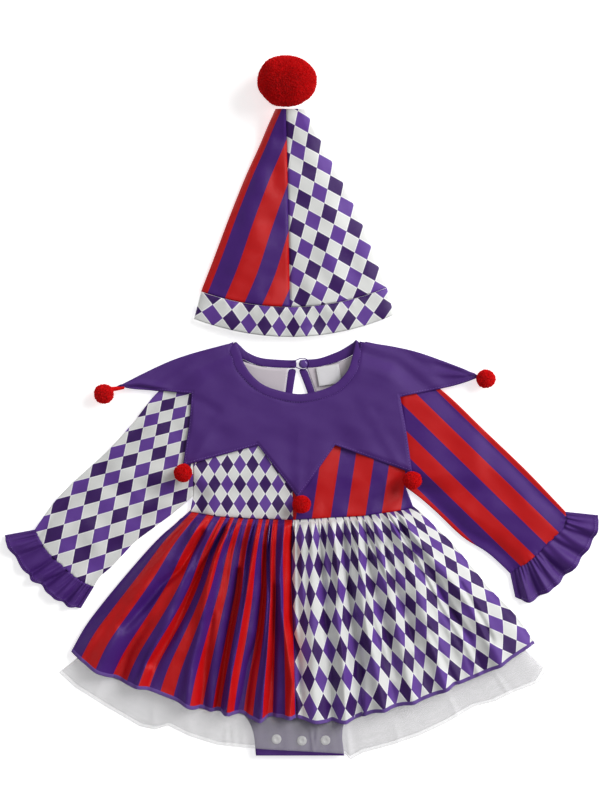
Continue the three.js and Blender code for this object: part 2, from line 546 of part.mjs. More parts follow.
function buttonLoop() {
  const arc = new THREE.CatmullRomCurve3([[-3.4, 153, 3.6], [0.4, 154.4, 3.7], [5, 156.9, 3.8], [10, 157, 3.8],
    [14.2, 153.4, 3.8], [14.2, 148.8, 3.8], [10, 145.2, 3.8], [5, 145.6, 3.8], [0.4, 148, 3.7], [-3.4, 149.4, 3.6]]
    .map((p) => new THREE.Vector3(...p)));
  const turns = 24, ring = 5, radius = 0.55, points = [], index = [];
  const frames = arc.computeFrenetFrames(turns, false);
  for (let i = 0; i <= turns; i++) {
    const p = arc.getPointAt(i / turns);
    for (let k = 0; k < ring; k++) {
      const a = (2 * Math.PI * k) / ring;
      points.push(p.clone().addScaledVector(frames.normals[i], radius * Math.cos(a))
        .addScaledVector(frames.binormals[i], radius * Math.sin(a)).toArray());
    }
  }
  for (let i = 0; i < turns; i++)
    for (let k = 0; k < ring; k++) {
      const a = i * ring + k, b = i * ring + ((k + 1) % ring);
      index.push(a, b, b + ring, a, b + ring, a + ring);
    }
  for (let k = 1; k < ring - 1; k++) index.push(0, k + 1, k, turns * ring, turns * ring + k, turns * ring + k + 1);
  return outward(points, index);
}

// The size label, left blank, sewn inside the back below the binding.
function sizeLabel() {
  const corners = patch({ foot: line([[24, 128.6], [47, 132]]), head: line([[20.6, 147.2], [43.5, 150.8]]),
    near: line([[24, 128.6], [20.6, 147.2]]), far: line([[47, 132], [43.5, 150.8]]) });
  return panel({ rows: 4, cols: 4, at: corners, thick: 1.0,
    under: (x, y, u, v) => lowFace(x, y) + PLY + 0.5 * (1 - v) * (1 - v) });
}

// ---- Hat ----------------------------------------------------------------------------------
// Sections of the flat hat, from the band seam to the tip: left fold, centre seam, right fold.
const HAT = [
  { left: [-94, 223.4], seam: -5, right: [92, 227.4], sag: 17.6, low: 0, puff: 1 },
  { left: [-81, 257], seam: -5.6, right: [84, 247], sag: 13, low: 0, puff: 1.05 },
  { left: [-66, 297], seam: -6.4, right: [66, 294], sag: 8, low: 0, puff: 1.0 },
  { left: [-50, 337], seam: -7.2, right: [46, 336], sag: 4, low: 0, puff: 0.9 },
  { left: [-36, 368], seam: -8, right: [29, 368], sag: 2, low: 2, puff: 0.8 },
  { left: [-27, 389], seam: -8.6, right: [18, 389], sag: 1, low: 7, puff: 0.7 },
  { left: [-19.5, 405], seam: -8.8, right: [10.5, 405], sag: 0.5, low: 13, puff: 0.6 },
];
const HAT_FOLDS = [
  { from: [-60, 232], to: [-40, 290], wide: 9, high: 1.4 },
  { from: [40, 236], to: [26, 300], wide: 9, high: 1.6 },
  { from: [60, 240], to: [50, 290], wide: 6, high: -1.2 },
  { from: [-22, 330], to: [-16, 380], wide: 5, high: -1.0 },
];
const column = (name) => line(HAT.map((row) => [].concat(row[name])));
const hatLine = { left: column("left"), right: column("right"), seam: column("seam"), sag: column("sag"), low: column("low"),
  puff: column("puff") };

function hatAt(side, s, v) {
  const sign = side === "left" ? -1 : 1;
  const edge = hatLine[side](v), seam = hatLine.seam(v)[0] + 0.15 * sign;
  const seamY = mix(hatLine.left(v)[1], hatLine.right(v)[1], 0.5) - hatLine.sag(v)[0];
  return [mix(seam, edge[0], s), mix(seamY, edge[1], s * s)];
}
const hatLow = (s, v) => hatLine.low(v)[0] + 2.0 * ease((s - 0.8) / 0.2) * mix(1, 0.5, v);
const hatHigh = (x, y, s, v) => hatLow(s, v) + 2 * CLOTH + GAP
  + hatLine.puff(v)[0] * Math.sqrt(Math.max(0, 1 - s ** 2.6)) * (HAT_PUFF + folds(HAT_FOLDS, x, y));

// Half of the cone: one piece folded at its outer edge, from the front seam round to the back seam.
function hatHalf(side) {
  const cols = 7, rows = 9;
  const steps = Array.from({ length: cols + 1 }, (_, c) => Math.sin((c / cols) * 0.5 * Math.PI));
  const ring = (v, inner) => {
    const point = (s, top) => {
      const [x, y] = hatAt(side, s, v);
      const z = top ? hatHigh(x, y, s, v) : hatLow(s, v);
      const width = Math.abs(hatLine[side](v)[0] - hatLine.seam(v)[0]);
      const [ix, iy] = hatAt(side, s * (1 - (inner ? CLOTH : 0) / width), v);
      return [ix, iy, z + (inner ? (top ? -CLOTH : CLOTH) : 0)];
    };
    return [...steps.map((s) => point(s, true)), ...[...steps].reverse().map((s) => point(s, false))];
  };
  const stations = Array.from({ length: rows + 1 }, (_, r) => r / rows);
  return wall(stations.map((v) => ring(v, false)), stations.map((v) => ring(v, true)));
}

// The head band: a ring pressed flat below the cone, its foot edge bowed like its top edge.
const BAND_FOOT = { left: [-101, 196], seam: [-4, 178], right: [99, 200] };

function hatBand() {
  const spread = (u) => Math.abs(2 * u - 1);
  const side = (u) => (u < 0.5 ? "left" : "right");
  const foot = (u) => [mix(BAND_FOOT.seam[0], BAND_FOOT[side(u)][0], spread(u)),
    mix(BAND_FOOT.seam[1], BAND_FOOT[side(u)][1], spread(u) ** 2)];
  return flatTube({
    rows: 2, cols: 14,
    across: (u, v) => [mix(hatAt(side(u), spread(u), 0)[0], foot(u)[0], v),
      mix(hatAt(side(u), spread(u), 0)[1] - 0.6, foot(u)[1], v)],
    low: (x, y, u) => hatLow(spread(u), 0),
    high: (x, y, u, v) => hatHigh(x, y, spread(u), 0) - 1.5 * v * (1 - spread(u)),
  });
}

// ---- Assembly -----------------------------------------------------------------------------
const group = new THREE.Group();
group.name = "clown_costume";
function add(name, geometry, color) {
  const mesh = new THREE.Mesh(geometry, new THREE.MeshStandardMaterial({ color, roughness: 0.7 }));
  mesh.name = name;
  group.add(mesh);
}

for (const [side, print] of [["left", COLOUR.diamonds], ["right", COLOUR.stripes]]) {
  add(`bodice_front_${side}`, bodicePanel(side, true), print);
  add(`bodice_back_${side}`, bodicePanel(side, false), print);
  add(`sleeve_${side}`, sleeve(side), print);
  add(`cuff_ruffle_${side}`, cuffRuffle(side), COLOUR.purple);
  add(`collar_back_${side}`, collarBack(side), COLOUR.purple);
}
for (const [side, print] of [["left", COLOUR.stripes], ["right", COLOUR.diamonds]]) {
  add(`skirt_front_${side}`, skirtPanel(side, true), print);
  add(`skirt_back_${side}`, skirtPanel(side, false), print);
  add(`hat_half_${side}`, hatHalf(side), print);
}
add("collar_front", collarFront(), COLOUR.purple);
add("neck_binding", strip(NECK, 46), COLOUR.purple);
add("keyhole_binding", strip(KEYHOLE_BINDING, 20), COLOUR.purple);
add("neck_button", neckButton(), COLOUR.purple);
add("button_loop", buttonLoop(), COLOUR.purple);
add("size_label", sizeLabel(), COLOUR.white);
add("petticoat_front", petticoat(true), COLOUR.net);
add("petticoat_back", petticoat(false), COLOUR.net);
add("romper_front", romper(true), COLOUR.purple);
add("romper_back", romper(false), COLOUR.purple);
SNAPS.forEach((at, i) => add(`snap_${i + 1}`, snapCap(at), COLOUR.white));
add("hat_band", hatBand(), COLOUR.diamonds);
add("hat_pompom", pompom({ ...HAT_BALL, z: HAT_BALL.height / 2 + 0.8, detail: 4 }), COLOUR.red);

// The five pompoms of the collar: plan position, and height of the cloth that each lies on.
const COLLAR_BALLS = [
  { name: "pompom_shoulder_left", x: -190.5, y: 121, width: 20, z: 10.5 },
  { name: "pompom_shoulder_right", x: 190.5, y: 136, width: 19, z: 10.2 },
  { name: "pompom_lower_left", x: -111, y: 42.5, width: 18.5 },
  { name: "pompom_lower_right", x: 117, y: 35, width: 18.5, z: 19.5 },
  { name: "pompom_centre", x: 7, y: 11, width: 18.5 },
];
for (const { name, x, y, width, z } of COLLAR_BALLS)
  add(name, pompom({ x, y, width, height: 0.92 * width, z: z ?? highFace(x, y) + CLOTH + 1.4 + 0.46 * width }), COLOUR.red);

// Origin: the middle of the whole set's footprint, on the table.
group.updateMatrixWorld(true);
const box = new THREE.Box3().setFromObject(group);
const middle = box.getCenter(new THREE.Vector3());
group.position.set(-middle.x, -middle.y, -box.min.z);

export default group;
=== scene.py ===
"""A baby's clown costume laid out flat: romper dress with a jester collar, and its cone hat.

Lengths in this file are millimetres in the plan of the dress, counted from the middle of its
waist: x towards the striped sleeve, y towards the hat, z up from the table.
"""

import json
import logging
import math
from dataclasses import dataclass, field
from enum import Enum
from typing import Callable, ClassVar, Sequence

import bmesh
import bpy
import numpy as np
from mathutils import Matrix, Vector
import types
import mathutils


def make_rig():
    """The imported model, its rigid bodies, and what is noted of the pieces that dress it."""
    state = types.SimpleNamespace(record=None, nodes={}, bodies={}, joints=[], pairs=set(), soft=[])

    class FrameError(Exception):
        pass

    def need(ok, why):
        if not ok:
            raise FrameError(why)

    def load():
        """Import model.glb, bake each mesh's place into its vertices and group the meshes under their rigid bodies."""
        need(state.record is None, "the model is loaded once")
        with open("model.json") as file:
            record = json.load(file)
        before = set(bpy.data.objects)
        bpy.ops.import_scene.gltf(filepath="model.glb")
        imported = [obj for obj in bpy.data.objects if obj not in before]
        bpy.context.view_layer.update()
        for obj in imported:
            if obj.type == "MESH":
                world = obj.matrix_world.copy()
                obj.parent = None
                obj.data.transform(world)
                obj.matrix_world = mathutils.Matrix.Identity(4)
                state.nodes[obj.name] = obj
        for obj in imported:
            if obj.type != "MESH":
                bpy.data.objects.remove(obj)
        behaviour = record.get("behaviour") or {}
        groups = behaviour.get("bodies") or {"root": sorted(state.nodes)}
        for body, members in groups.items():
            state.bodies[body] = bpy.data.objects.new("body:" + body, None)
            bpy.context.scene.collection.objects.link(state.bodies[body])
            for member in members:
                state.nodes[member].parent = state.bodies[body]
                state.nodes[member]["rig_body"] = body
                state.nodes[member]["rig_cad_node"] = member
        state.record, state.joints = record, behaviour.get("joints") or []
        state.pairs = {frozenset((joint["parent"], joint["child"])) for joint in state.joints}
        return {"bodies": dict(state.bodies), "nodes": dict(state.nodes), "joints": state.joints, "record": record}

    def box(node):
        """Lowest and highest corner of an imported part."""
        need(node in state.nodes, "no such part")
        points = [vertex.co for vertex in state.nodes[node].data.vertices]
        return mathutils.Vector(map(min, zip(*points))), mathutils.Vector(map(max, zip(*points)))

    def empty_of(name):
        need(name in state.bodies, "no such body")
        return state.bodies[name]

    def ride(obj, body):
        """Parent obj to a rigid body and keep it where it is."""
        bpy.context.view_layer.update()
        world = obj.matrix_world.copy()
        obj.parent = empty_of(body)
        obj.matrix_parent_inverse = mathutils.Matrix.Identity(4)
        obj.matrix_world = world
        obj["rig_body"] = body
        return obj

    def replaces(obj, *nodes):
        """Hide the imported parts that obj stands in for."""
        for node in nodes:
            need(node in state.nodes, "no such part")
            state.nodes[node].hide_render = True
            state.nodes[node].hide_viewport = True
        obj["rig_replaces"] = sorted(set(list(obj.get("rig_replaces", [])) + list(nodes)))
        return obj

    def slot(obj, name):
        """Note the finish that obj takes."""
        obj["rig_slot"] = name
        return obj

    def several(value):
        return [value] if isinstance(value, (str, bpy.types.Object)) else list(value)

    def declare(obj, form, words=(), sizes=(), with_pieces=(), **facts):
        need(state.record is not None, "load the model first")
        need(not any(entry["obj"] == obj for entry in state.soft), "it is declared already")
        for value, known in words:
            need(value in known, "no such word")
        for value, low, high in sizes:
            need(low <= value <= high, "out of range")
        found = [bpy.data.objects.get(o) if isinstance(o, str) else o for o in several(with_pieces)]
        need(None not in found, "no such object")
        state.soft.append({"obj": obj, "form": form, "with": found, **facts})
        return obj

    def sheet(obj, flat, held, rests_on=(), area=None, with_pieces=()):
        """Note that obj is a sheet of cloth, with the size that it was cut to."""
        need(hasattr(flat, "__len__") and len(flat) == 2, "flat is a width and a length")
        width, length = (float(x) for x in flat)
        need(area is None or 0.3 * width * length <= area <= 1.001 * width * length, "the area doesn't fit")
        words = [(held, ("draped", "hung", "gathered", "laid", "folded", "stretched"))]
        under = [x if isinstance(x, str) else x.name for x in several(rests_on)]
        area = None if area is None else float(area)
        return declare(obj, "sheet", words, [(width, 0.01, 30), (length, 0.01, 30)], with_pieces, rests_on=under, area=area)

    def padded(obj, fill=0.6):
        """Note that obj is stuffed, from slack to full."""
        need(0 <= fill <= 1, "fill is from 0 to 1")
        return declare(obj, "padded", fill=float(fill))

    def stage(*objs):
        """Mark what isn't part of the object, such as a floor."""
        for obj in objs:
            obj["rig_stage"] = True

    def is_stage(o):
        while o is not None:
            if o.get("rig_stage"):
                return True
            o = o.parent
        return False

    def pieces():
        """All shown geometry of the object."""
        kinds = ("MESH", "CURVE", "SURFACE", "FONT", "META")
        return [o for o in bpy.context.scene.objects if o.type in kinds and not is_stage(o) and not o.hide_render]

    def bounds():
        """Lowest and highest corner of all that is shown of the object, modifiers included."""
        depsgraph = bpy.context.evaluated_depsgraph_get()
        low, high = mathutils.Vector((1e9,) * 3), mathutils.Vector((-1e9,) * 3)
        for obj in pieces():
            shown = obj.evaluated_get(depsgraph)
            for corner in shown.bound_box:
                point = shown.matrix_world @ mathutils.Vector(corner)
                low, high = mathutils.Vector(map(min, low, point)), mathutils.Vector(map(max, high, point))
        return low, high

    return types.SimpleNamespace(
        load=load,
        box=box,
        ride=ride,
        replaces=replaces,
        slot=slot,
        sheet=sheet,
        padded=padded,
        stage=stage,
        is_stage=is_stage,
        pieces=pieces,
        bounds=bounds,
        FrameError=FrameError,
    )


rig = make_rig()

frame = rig.load()
CAD_BOX = [list(corner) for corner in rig.bounds()]
LOG = logging.getLogger("costume")
MM = 0.001
CUT_MAP = "cut"  # the UV map that says where each place is on the flat cloth
MIDDLE_SNAP = (7.0, -225.0)  # plan position of the middle snap, which fixes the plan in the frame


def plan_origin() -> np.ndarray:
    """The frame position, in mm, of the middle of the waist."""
    low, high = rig.box("snap_2")
    return np.array([(low.x + high.x) / 2 / MM - MIDDLE_SNAP[0], (low.y + high.y) / 2 / MM - MIDDLE_SNAP[1],
                     0.0])


ORIGIN = plan_origin()
Array = np.ndarray
Path = Callable[[Array], Array]  # a parameter from 0 to 1 to places
Plane = Callable[[Array, Array], Array]  # two parameters to places
Height = Callable[[Array, Array, Array, Array], Array]  # plan place and parameters to heights


class Side(Enum):
    """The left or right of the laid-out dress, as seen from above."""

    LEFT = "left"
    RIGHT = "right"

    @property
    def sign(self) -> int:
        """-1 on the left, 1 on the right."""
        return -1 if self is Side.LEFT else 1


# ---- Shapes ------------------------------------------------------------------------------------


def ease(t: Array) -> Array:
    """Smooth step from 0 to 1."""
    t = np.clip(t, 0.0, 1.0)
    return t * t * (3 - 2 * t)


def mix(a: Array, b: Array, t: Array) -> Array:
    """Linear mix of a and b."""
    return a + (b - a) * t


def bump(offset: Array, width: Array) -> Array:
    """A soft ridge one high, whose half width is given."""
    return np.exp(-((offset / width) ** 2))


def run_of(points: Array) -> Array:
    """Distance along a chain of points, from its start to each of them."""
    return np.concatenate([[0.0], np.cumsum(np.linalg.norm(np.diff(points, axis=0), axis=1))])


def round_tube(u: Array) -> Array:
    """Place across a pressed tube: from 0 to 1 and back again as u goes round it."""
    return 0.5 * (1 - np.cos(2 * np.pi * u))


def off_folds(c: Array, share: float) -> Array:
    """0 at both folds of a pressed tube, and 1 from this share of its width in."""
    return ease(np.minimum(c, 1 - c) / share)


class Curve:
    """A plane curve through points; its parameter runs evenly from point to point."""

    FINE = 400  # points at which an even parameter is measured

    def __init__(self, points: Sequence[Sequence[float]], smooth: bool = True) -> None:
        """Args:
            points: The points, in mm.
            smooth: Whether the curve rounds the points or keeps them as corners.
        """
        self.points = np.array(points, float)
        self.smooth = smooth and len(points) > 2

    def __call__(self, t: Array) -> Array:
        """The points of the curve at parameters from 0 to 1, one row each."""
        p = self.points
        s = np.clip(np.atleast_1d(t), 0, 1) * (len(p) - 1)
        i = np.minimum(s.astype(int), len(p) - 2)
        f = (s - i)[:, None]
        a, b = p[i], p[i + 1]
        if not self.smooth:
            return mix(a, b, f)
        before, after = p[np.maximum(i - 1, 0)], p[np.minimum(i + 2, len(p) - 1)]
        ta, tb = (b - before) / 2, (after - a) / 2
        return ((2 * f**3 - 3 * f**2 + 1) * a + (f**3 - 2 * f**2 + f) * ta
                + (3 * f**2 - 2 * f**3) * b + (f**3 - f**2) * tb)

    def _even(self, measure: Path) -> Path:
        """The same curve, with a parameter that is the share of a measure of its fine points."""
        fine = self(np.linspace(0, 1, self.FINE))
        run = measure(fine)
        return lambda u: np.stack([np.interp(np.atleast_1d(u), run / run[-1], fine[:, k]) for k in (0, 1)], 1)

    def by_share(self) -> Path:
        """The same curve, with a parameter that is the share of its width in x."""
        return self._even(lambda fine: fine[:, 0] - fine[0, 0])

    def by_length(self) -> Path:
        """The same curve, with a parameter that is the share of its length."""
        return self._even(run_of)


def patch(foot: Path, head: Path, near: Path, far: Path) -> Plane:
    """A plane patch between four edges: foot and head run across it, near and far run up it."""

    def at(u: Array, v: Array) -> Array:
        """Ruled both ways, less the ruling between the corners."""
        one = np.ones(1)
        c00, c10, c01, c11 = foot(0 * one), foot(one), head(0 * one), head(one)
        ruled = mix(foot(u), head(u), v[:, None]) + mix(near(v), far(v), u[:, None])
        return ruled - mix(mix(c00, c10, u[:, None]), mix(c01, c11, u[:, None]), v[:, None])

    return at


def fan(rays: Sequence[Curve]) -> Plane:
    """A plane patch spanned by rays, each running from v = 0 to v = 1."""

    def at(u: Array, v: Array) -> Array:
        """A place between the two nearest rays."""
        s = np.clip(u, 0, 1) * (len(rays) - 1)
        i = np.minimum(s.astype(int), len(rays) - 2)
        sheets = np.stack([ray(v) for ray in rays])
        rows = np.arange(len(v))
        return mix(sheets[i, rows], sheets[i + 1, rows], (s - i)[:, None])

    return at


def distance_to(points: Sequence[Sequence[float]], x: Array, y: Array) -> Array:
    """Distance from each place to a chain of straight lines."""
    best = np.full(np.shape(x), np.inf)
    for (ax, ay), (bx, by) in zip(points[:-1], points[1:]):
        along = ((x - ax) * (bx - ax) + (y - ay) * (by - ay)) / ((bx - ax) ** 2 + (by - ay) ** 2)
        t = np.clip(along, 0, 1)
        best = np.minimum(best, np.hypot(x - mix(ax, bx, t), y - mix(ay, by, t)))
    return best


def inside(points: Sequence[Sequence[float]], x: Array, y: Array) -> Array:
    """Whether each place is inside a closed outline."""
    odd = np.zeros(np.shape(x), bool)
    for (ax, ay), (bx, by) in zip(points, [points[-1], *points[:-1]]):
        crosses = (ay > y) != (by > y)
        with np.errstate(divide="ignore", invalid="ignore"):
            odd ^= crosses & (x < ax + (bx - ax) * (y - ay) / (by - ay))
    return odd


@dataclass(frozen=True)
class Fold:
    """A soft ridge in laid-out cloth, or a trough where its height is below nought."""

    start: tuple[float, float]
    end: tuple[float, float]
    width: float
    height: float

    def rise(self, x: Array, y: Array) -> Array:
        """Height of the fold at each place; it dies away towards its end."""
        dx, dy = self.end[0] - self.start[0], self.end[1] - self.start[1]
        t = ((x - self.start[0]) * dx + (y - self.start[1]) * dy) / (dx * dx + dy * dy)
        c = np.clip(t, 0, 1)
        off = np.hypot(x - self.start[0] - c * dx, y - self.start[1] - c * dy)
        return self.height * bump(off, self.width * (1 + 0.5 * c)) * (1 - 0.75 * c)


# ---- The laid-out dress -------------------------------------------------------------------------


@dataclass
class Layout:
    """Outline and heights of the laid-out dress, which every layer of cloth follows."""

    ply: float = 1.5  # from the back cloth to the front one at a seam
    roll: float = 1.4  # how far an edge rolls up from the table
    soft: float = 24.0  # distance over which the front rises from a seam
    body_puff: float = 5.6
    sleeve_puff: float = 5.0
    collar_lift: float = 1.6  # thickness of the collar under the back
    left_shoulder: tuple = ((-68, 167), (-100, 153), (-137, 123), (-162, 92), (-187, 65), (-220, 36),
                            (-237, 19), (-260, -14))
    left_side: tuple = ((-201, -71.5), (-192, -57), (-159, -26), (-119, 4), (-102, 19), (-105, 3), (-119, -8),
                        (-140, -27), (-167, -57.5), (-193, -89), (-210, -112), (-224, -135))
    right_side: tuple = ((215, -58), (187, -32), (165, -20), (141, 3), (111.5, 27), (119, 7), (127, 2),
                         (138, -9), (158, -29), (176, -50.5), (192.5, -71), (209, -88), (224, -104.5),
                         (240, -127))
    right_shoulder: tuple = ((70, 169), (103, 158), (149, 123), (187, 87), (227, 49), (253, 22), (270, 4))
    folds: tuple = (
        Fold((100, 34), (72, 18), 4.5, 1.8), Fold((108, 20), (84, 6), 3.5, -1.4),
        Fold((-96, 34), (-74, 16), 5, 1.3), Fold((106, 30), (88, 44), 3.5, -1.0),
        Fold((-120, 18), (-150, 20), 5, -1.5), Fold((-112, 30), (-160, 46), 7, 1.5),
        Fold((-196, -40), (-208, 6), 8, 1.3), Fold((124, 34), (168, 44), 7, 1.6),
        Fold((132, 20), (170, 22), 5, -1.5), Fold((206, -34), (226, 6), 8, 1.3),
        Fold((-40, 2), (-30, 60), 12, 1.0), Fold((46, 4), (56, 56), 11, 1.1),
        Fold((-150, 8), (-176, 46), 6, 0.9), Fold((-128, 96), (-176, 50), 9, -0.9),
        Fold((-222, -2), (-196, 24), 6, -0.9), Fold((168, -6), (190, 44), 6, 0.9),
        Fold((146, 110), (196, 56), 9, -0.9), Fold((232, 20), (210, 40), 6, 0.8),
        Fold((22, 6), (18, 44), 6, 0.9), Fold((78, 2), (84, 34), 5, 0.8), Fold((-66, 0), (-62, 34), 6, 0.8),
        Fold((-16, 0), (-18, 26), 5, 0.6), Fold((-88, 4), (-92, 20), 4, 0.7))

    def depth(self, x: Array, y: Array) -> Array:
        """Distance in from the nearest fold or side seam; below nought outside the dress."""
        edges = (self.left_shoulder, self.left_side, self.right_side, self.right_shoulder)
        d = np.minimum.reduce([distance_to(edge, x, y) for edge in edges])
        outline = [*self.left_shoulder, (-300, -100), *self.left_side, (-240, -320), (260, -320),
                   *self.right_side[::-1], (310, -90), *self.right_shoulder[::-1], (60, 240), (-60, 240)]
        return np.where(inside(outline, x, y) | (d < 0.6), d, -d)

    def low(self, x: Array, y: Array) -> Array:
        """Lower face of the back cloth."""
        on_collar = ease((y - 24) / 20) * (1 - ease((np.abs(x) - 180) / 16))
        return self.collar_lift * on_collar + self.roll * (1 - ease(self.depth(x, y) / 9))

    def high(self, x: Array, y: Array) -> Array:
        """Lower face of the front cloth."""
        puff = mix(self.body_puff, self.sleeve_puff, ease((np.abs(x) - 95) / 60))
        swell = puff + sum(fold.rise(x, y) for fold in self.folds)
        return self.low(x, y) + self.ply + ease(self.depth(x, y) / self.soft) * swell


DRESS = Layout()


# ---- Finishes -----------------------------------------------------------------------------------


class Wire:
    """A shader socket that can be used in Python expressions."""

    def __init__(self, paint: "Paint", socket: bpy.types.NodeSocket) -> None:
        """Wraps one output socket of a material's node tree."""
        self.paint, self.socket = paint, socket

    def _math(self, operation: str, *values: "Wire | float") -> "Wire":
        """The result of a Math node on these values."""
        return self.paint.node("ShaderNodeMath", {"operation": operation}, dict(enumerate(values)))

    def __add__(self, other: "Wire | float") -> "Wire":
        """Sum."""
        return self._math("ADD", self, other)

    __radd__ = __add__

    def __sub__(self, other: "Wire | float") -> "Wire":
        """Difference."""
        return self._math("SUBTRACT", self, other)

    def __rsub__(self, other: "Wire | float") -> "Wire":
        """Reflected difference."""
        return self._math("SUBTRACT", other, self)

    def __mul__(self, other: "Wire | float") -> "Wire":
        """Product."""
        return self._math("MULTIPLY", self, other)

    __rmul__ = __mul__

    def __truediv__(self, other: "Wire | float") -> "Wire":
        """Quotient."""
        return self._math("DIVIDE", self, other)

    def __abs__(self) -> "Wire":
        """Absolute value."""
        return self._math("ABSOLUTE", self)

    def whole(self) -> "Wire":
        """The nearest whole number."""
        return self._math("ROUND", self)

    def wrap(self, period: float) -> "Wire":
        """What is left after whole periods are taken away."""
        return self._math("FLOORED_MODULO", self, period)

    def sine(self) -> "Wire":
        """The sine of this angle."""
        return self._math("SINE", self)

    def ramp(self, low: float, high: float) -> "Wire":
        """0 up to low, 1 from high on, and smooth between."""
        return self.paint.node("ShaderNodeMapRange", {"interpolation_type": "SMOOTHSTEP"},
                               {"Value": self, "From Min": low, "From Max": high})


class Paint:
    """Builds the node tree of one material."""

    def __init__(self, name: str) -> None:
        """Args:
            name: The material's name.
        """
        self.material = bpy.data.materials.new(name)
        self.material.use_nodes = True
        self.tree = self.material.node_tree
        self.shader = self.tree.nodes["Principled BSDF"]

    def node(self, kind: str, settings: dict | None = None, inputs: dict | None = None,
             output: int | str = 0) -> Wire:
        """Adds a node.

        Args:
            kind: The node's type.
            settings: Properties that are set first.
            inputs: Values or wires by socket name or number.
            output: The socket to return.

        Returns:
            The output, wrapped.
        """
        made = self.tree.nodes.new(kind)
        for key, value in (settings or {}).items():
            setattr(made, key, value)
        for key, value in (inputs or {}).items():
            self.feed(made.inputs[key], value)
        return Wire(self, made.outputs[output])

    def feed(self, socket: bpy.types.NodeSocket, value: object) -> None:
        """Sets a socket's value, or links a wire to it."""
        if isinstance(value, Wire):
            self.tree.links.new(value.socket, socket)
        else:
            socket.default_value = value

    def blend(self, share: Wire | float, a: object, b: object) -> Wire:
        """A colour that goes from a to b with share."""
        return self.node("ShaderNodeMix", {"data_type": "RGBA"}, {0: share, 6: a, 7: b}, 2)

    def noise(self, scale: float, detail: float = 2.0) -> Wire:
        """A noise from 0 to 1 on Object coordinates; scale is per metre."""
        place = self.node("ShaderNodeTexCoord", output="Object")
        return self.node("ShaderNodeTexNoise", {}, {"Vector": place, "Scale": scale, "Detail": detail})

    def cut(self) -> tuple[Wire, Wire]:
        """The two coordinates of the flat cloth, in mm."""
        place = self.node("ShaderNodeUVMap", {"uv_map": CUT_MAP})
        across, along = (self.node("ShaderNodeSeparateXYZ", {}, {0: place}, output) for output in ("X", "Y"))
        return across / MM, along / MM

    def set(self, **inputs: object) -> None:
        """Feeds the shader's sockets; underscores in a name stand for spaces."""
        for key, value in inputs.items():
            self.feed(self.shader.inputs[key.replace("_", " ")], value)

    def relief(self, height: Wire, depth: float) -> None:
        """Feeds a bump of the given depth, in mm, to the shader."""
        self.set(Normal=self.node("ShaderNodeBump", {}, {"Strength": 1.0, "Distance": depth * MM,
                                                         "Height": height}))


def rgb(red: int, green: int, blue: int) -> tuple[float, float, float, float]:
    """A linear colour from display values of 0 to 255."""
    shares = (c / 255 for c in (red, green, blue))
    return (*(((c + 0.055) / 1.055) ** 2.4 if c > 0.04045 else c / 12.92 for c in shares), 1.0)


PURPLE = rgb(78, 39, 124)
DEEP_PURPLE = rgb(72, 28, 122)
DARK_DIAMOND = rgb(60, 24, 98)
MID_DIAMOND = rgb(102, 63, 156)
RED = rgb(204, 7, 10)
WHITE = rgb(233, 234, 232)
BRIGHT = rgb(252, 251, 252)


@dataclass(frozen=True)
class Satin:
    """Smooth knit or satin cloth: a fine weave, soft sheen and slightly uneven colour."""

    name: str
    roughness: float = 0.4
    sheen: float = 0.03
    thread: float = 0.55  # mm between threads

    def ground(self, paint: Paint) -> Wire | tuple:
        """The colour of the cloth before it is made uneven."""
        return PURPLE

    def make(self) -> bpy.types.Material:
        """Builds the material."""
        paint = Paint(self.name)
        across, along = paint.cut()
        cloudy = paint.noise(26.0, 3.0)
        fine = paint.noise(900.0, 2.0)
        colour = self.ground(paint)
        shaded = paint.blend(0.22 * cloudy + 0.12 * fine, colour, paint.node(
            "ShaderNodeHueSaturation", {}, {"Value": 0.72, "Saturation": 1.04, "Color": colour}))
        turn = 2 * math.pi / self.thread
        weave = (turn * (across + along)).sine() + 0.6 * (turn * 0.5 * (across - along)).sine()
        paint.set(Base_Color=shaded, Roughness=self.roughness + 0.12 * (cloudy - 0.5),
                  Sheen_Weight=self.sheen, Sheen_Roughness=0.4, Specular_IOR_Level=0.28)
        paint.relief(0.5 * weave + 2.0 * fine, 0.05)
        return paint.material


@dataclass(frozen=True)
class PlainSatin(Satin):
    """Plain dyed satin."""

    colour: tuple = PURPLE

    def ground(self, paint: Paint) -> tuple:
        """The dyed colour."""
        return self.colour


@dataclass(frozen=True)
class Stripes(Satin):
    """Red and purple stripes that run along the cloth."""

    period: float = 33.0
    red: float = 0.52  # share of the period
    start: float = 0.0  # where a red stripe begins

    def ground(self, paint: Paint) -> Wire:
        """Red where the place across the cloth falls in a red stripe."""
        across, _ = paint.cut()
        step = (across - self.start).wrap(self.period) / self.period
        edge = 0.35 / self.period
        red = step.ramp(0.0, edge) * (1 - step.ramp(self.red - edge, self.red))
        return paint.blend(red, DEEP_PURPLE, RED)


@dataclass(frozen=True)
class Harlequin(Satin):
    """Dark and mid purple diamonds in turn, between white ones with a brighter rim."""

    width: float = 17.0
    height: float = 28.7
    start: tuple[float, float] = (0.0, 0.0)  # middle of a dark diamond

    def ground(self, paint: Paint) -> Wire:
        """The printed colour."""
        across, along = paint.cut()
        x, y = (across - self.start[0]) / self.width, (along - self.start[1]) / self.height
        column, row = x.whole(), y.whole()
        reach = abs(x - column) + abs(y - row)
        rim = 0.55 * math.hypot(self.width, self.height) / (self.width * self.height)
        odd = (column + row).wrap(2.0)
        purple = paint.blend(odd, DARK_DIAMOND, MID_DIAMOND)
        white = paint.blend(reach.ramp(0.5 + 1.1 * rim, 0.5 + 1.9 * rim), BRIGHT, WHITE)
        return paint.blend(reach.ramp(0.5 - 0.25 * rim, 0.5 + 0.25 * rim), purple, white)


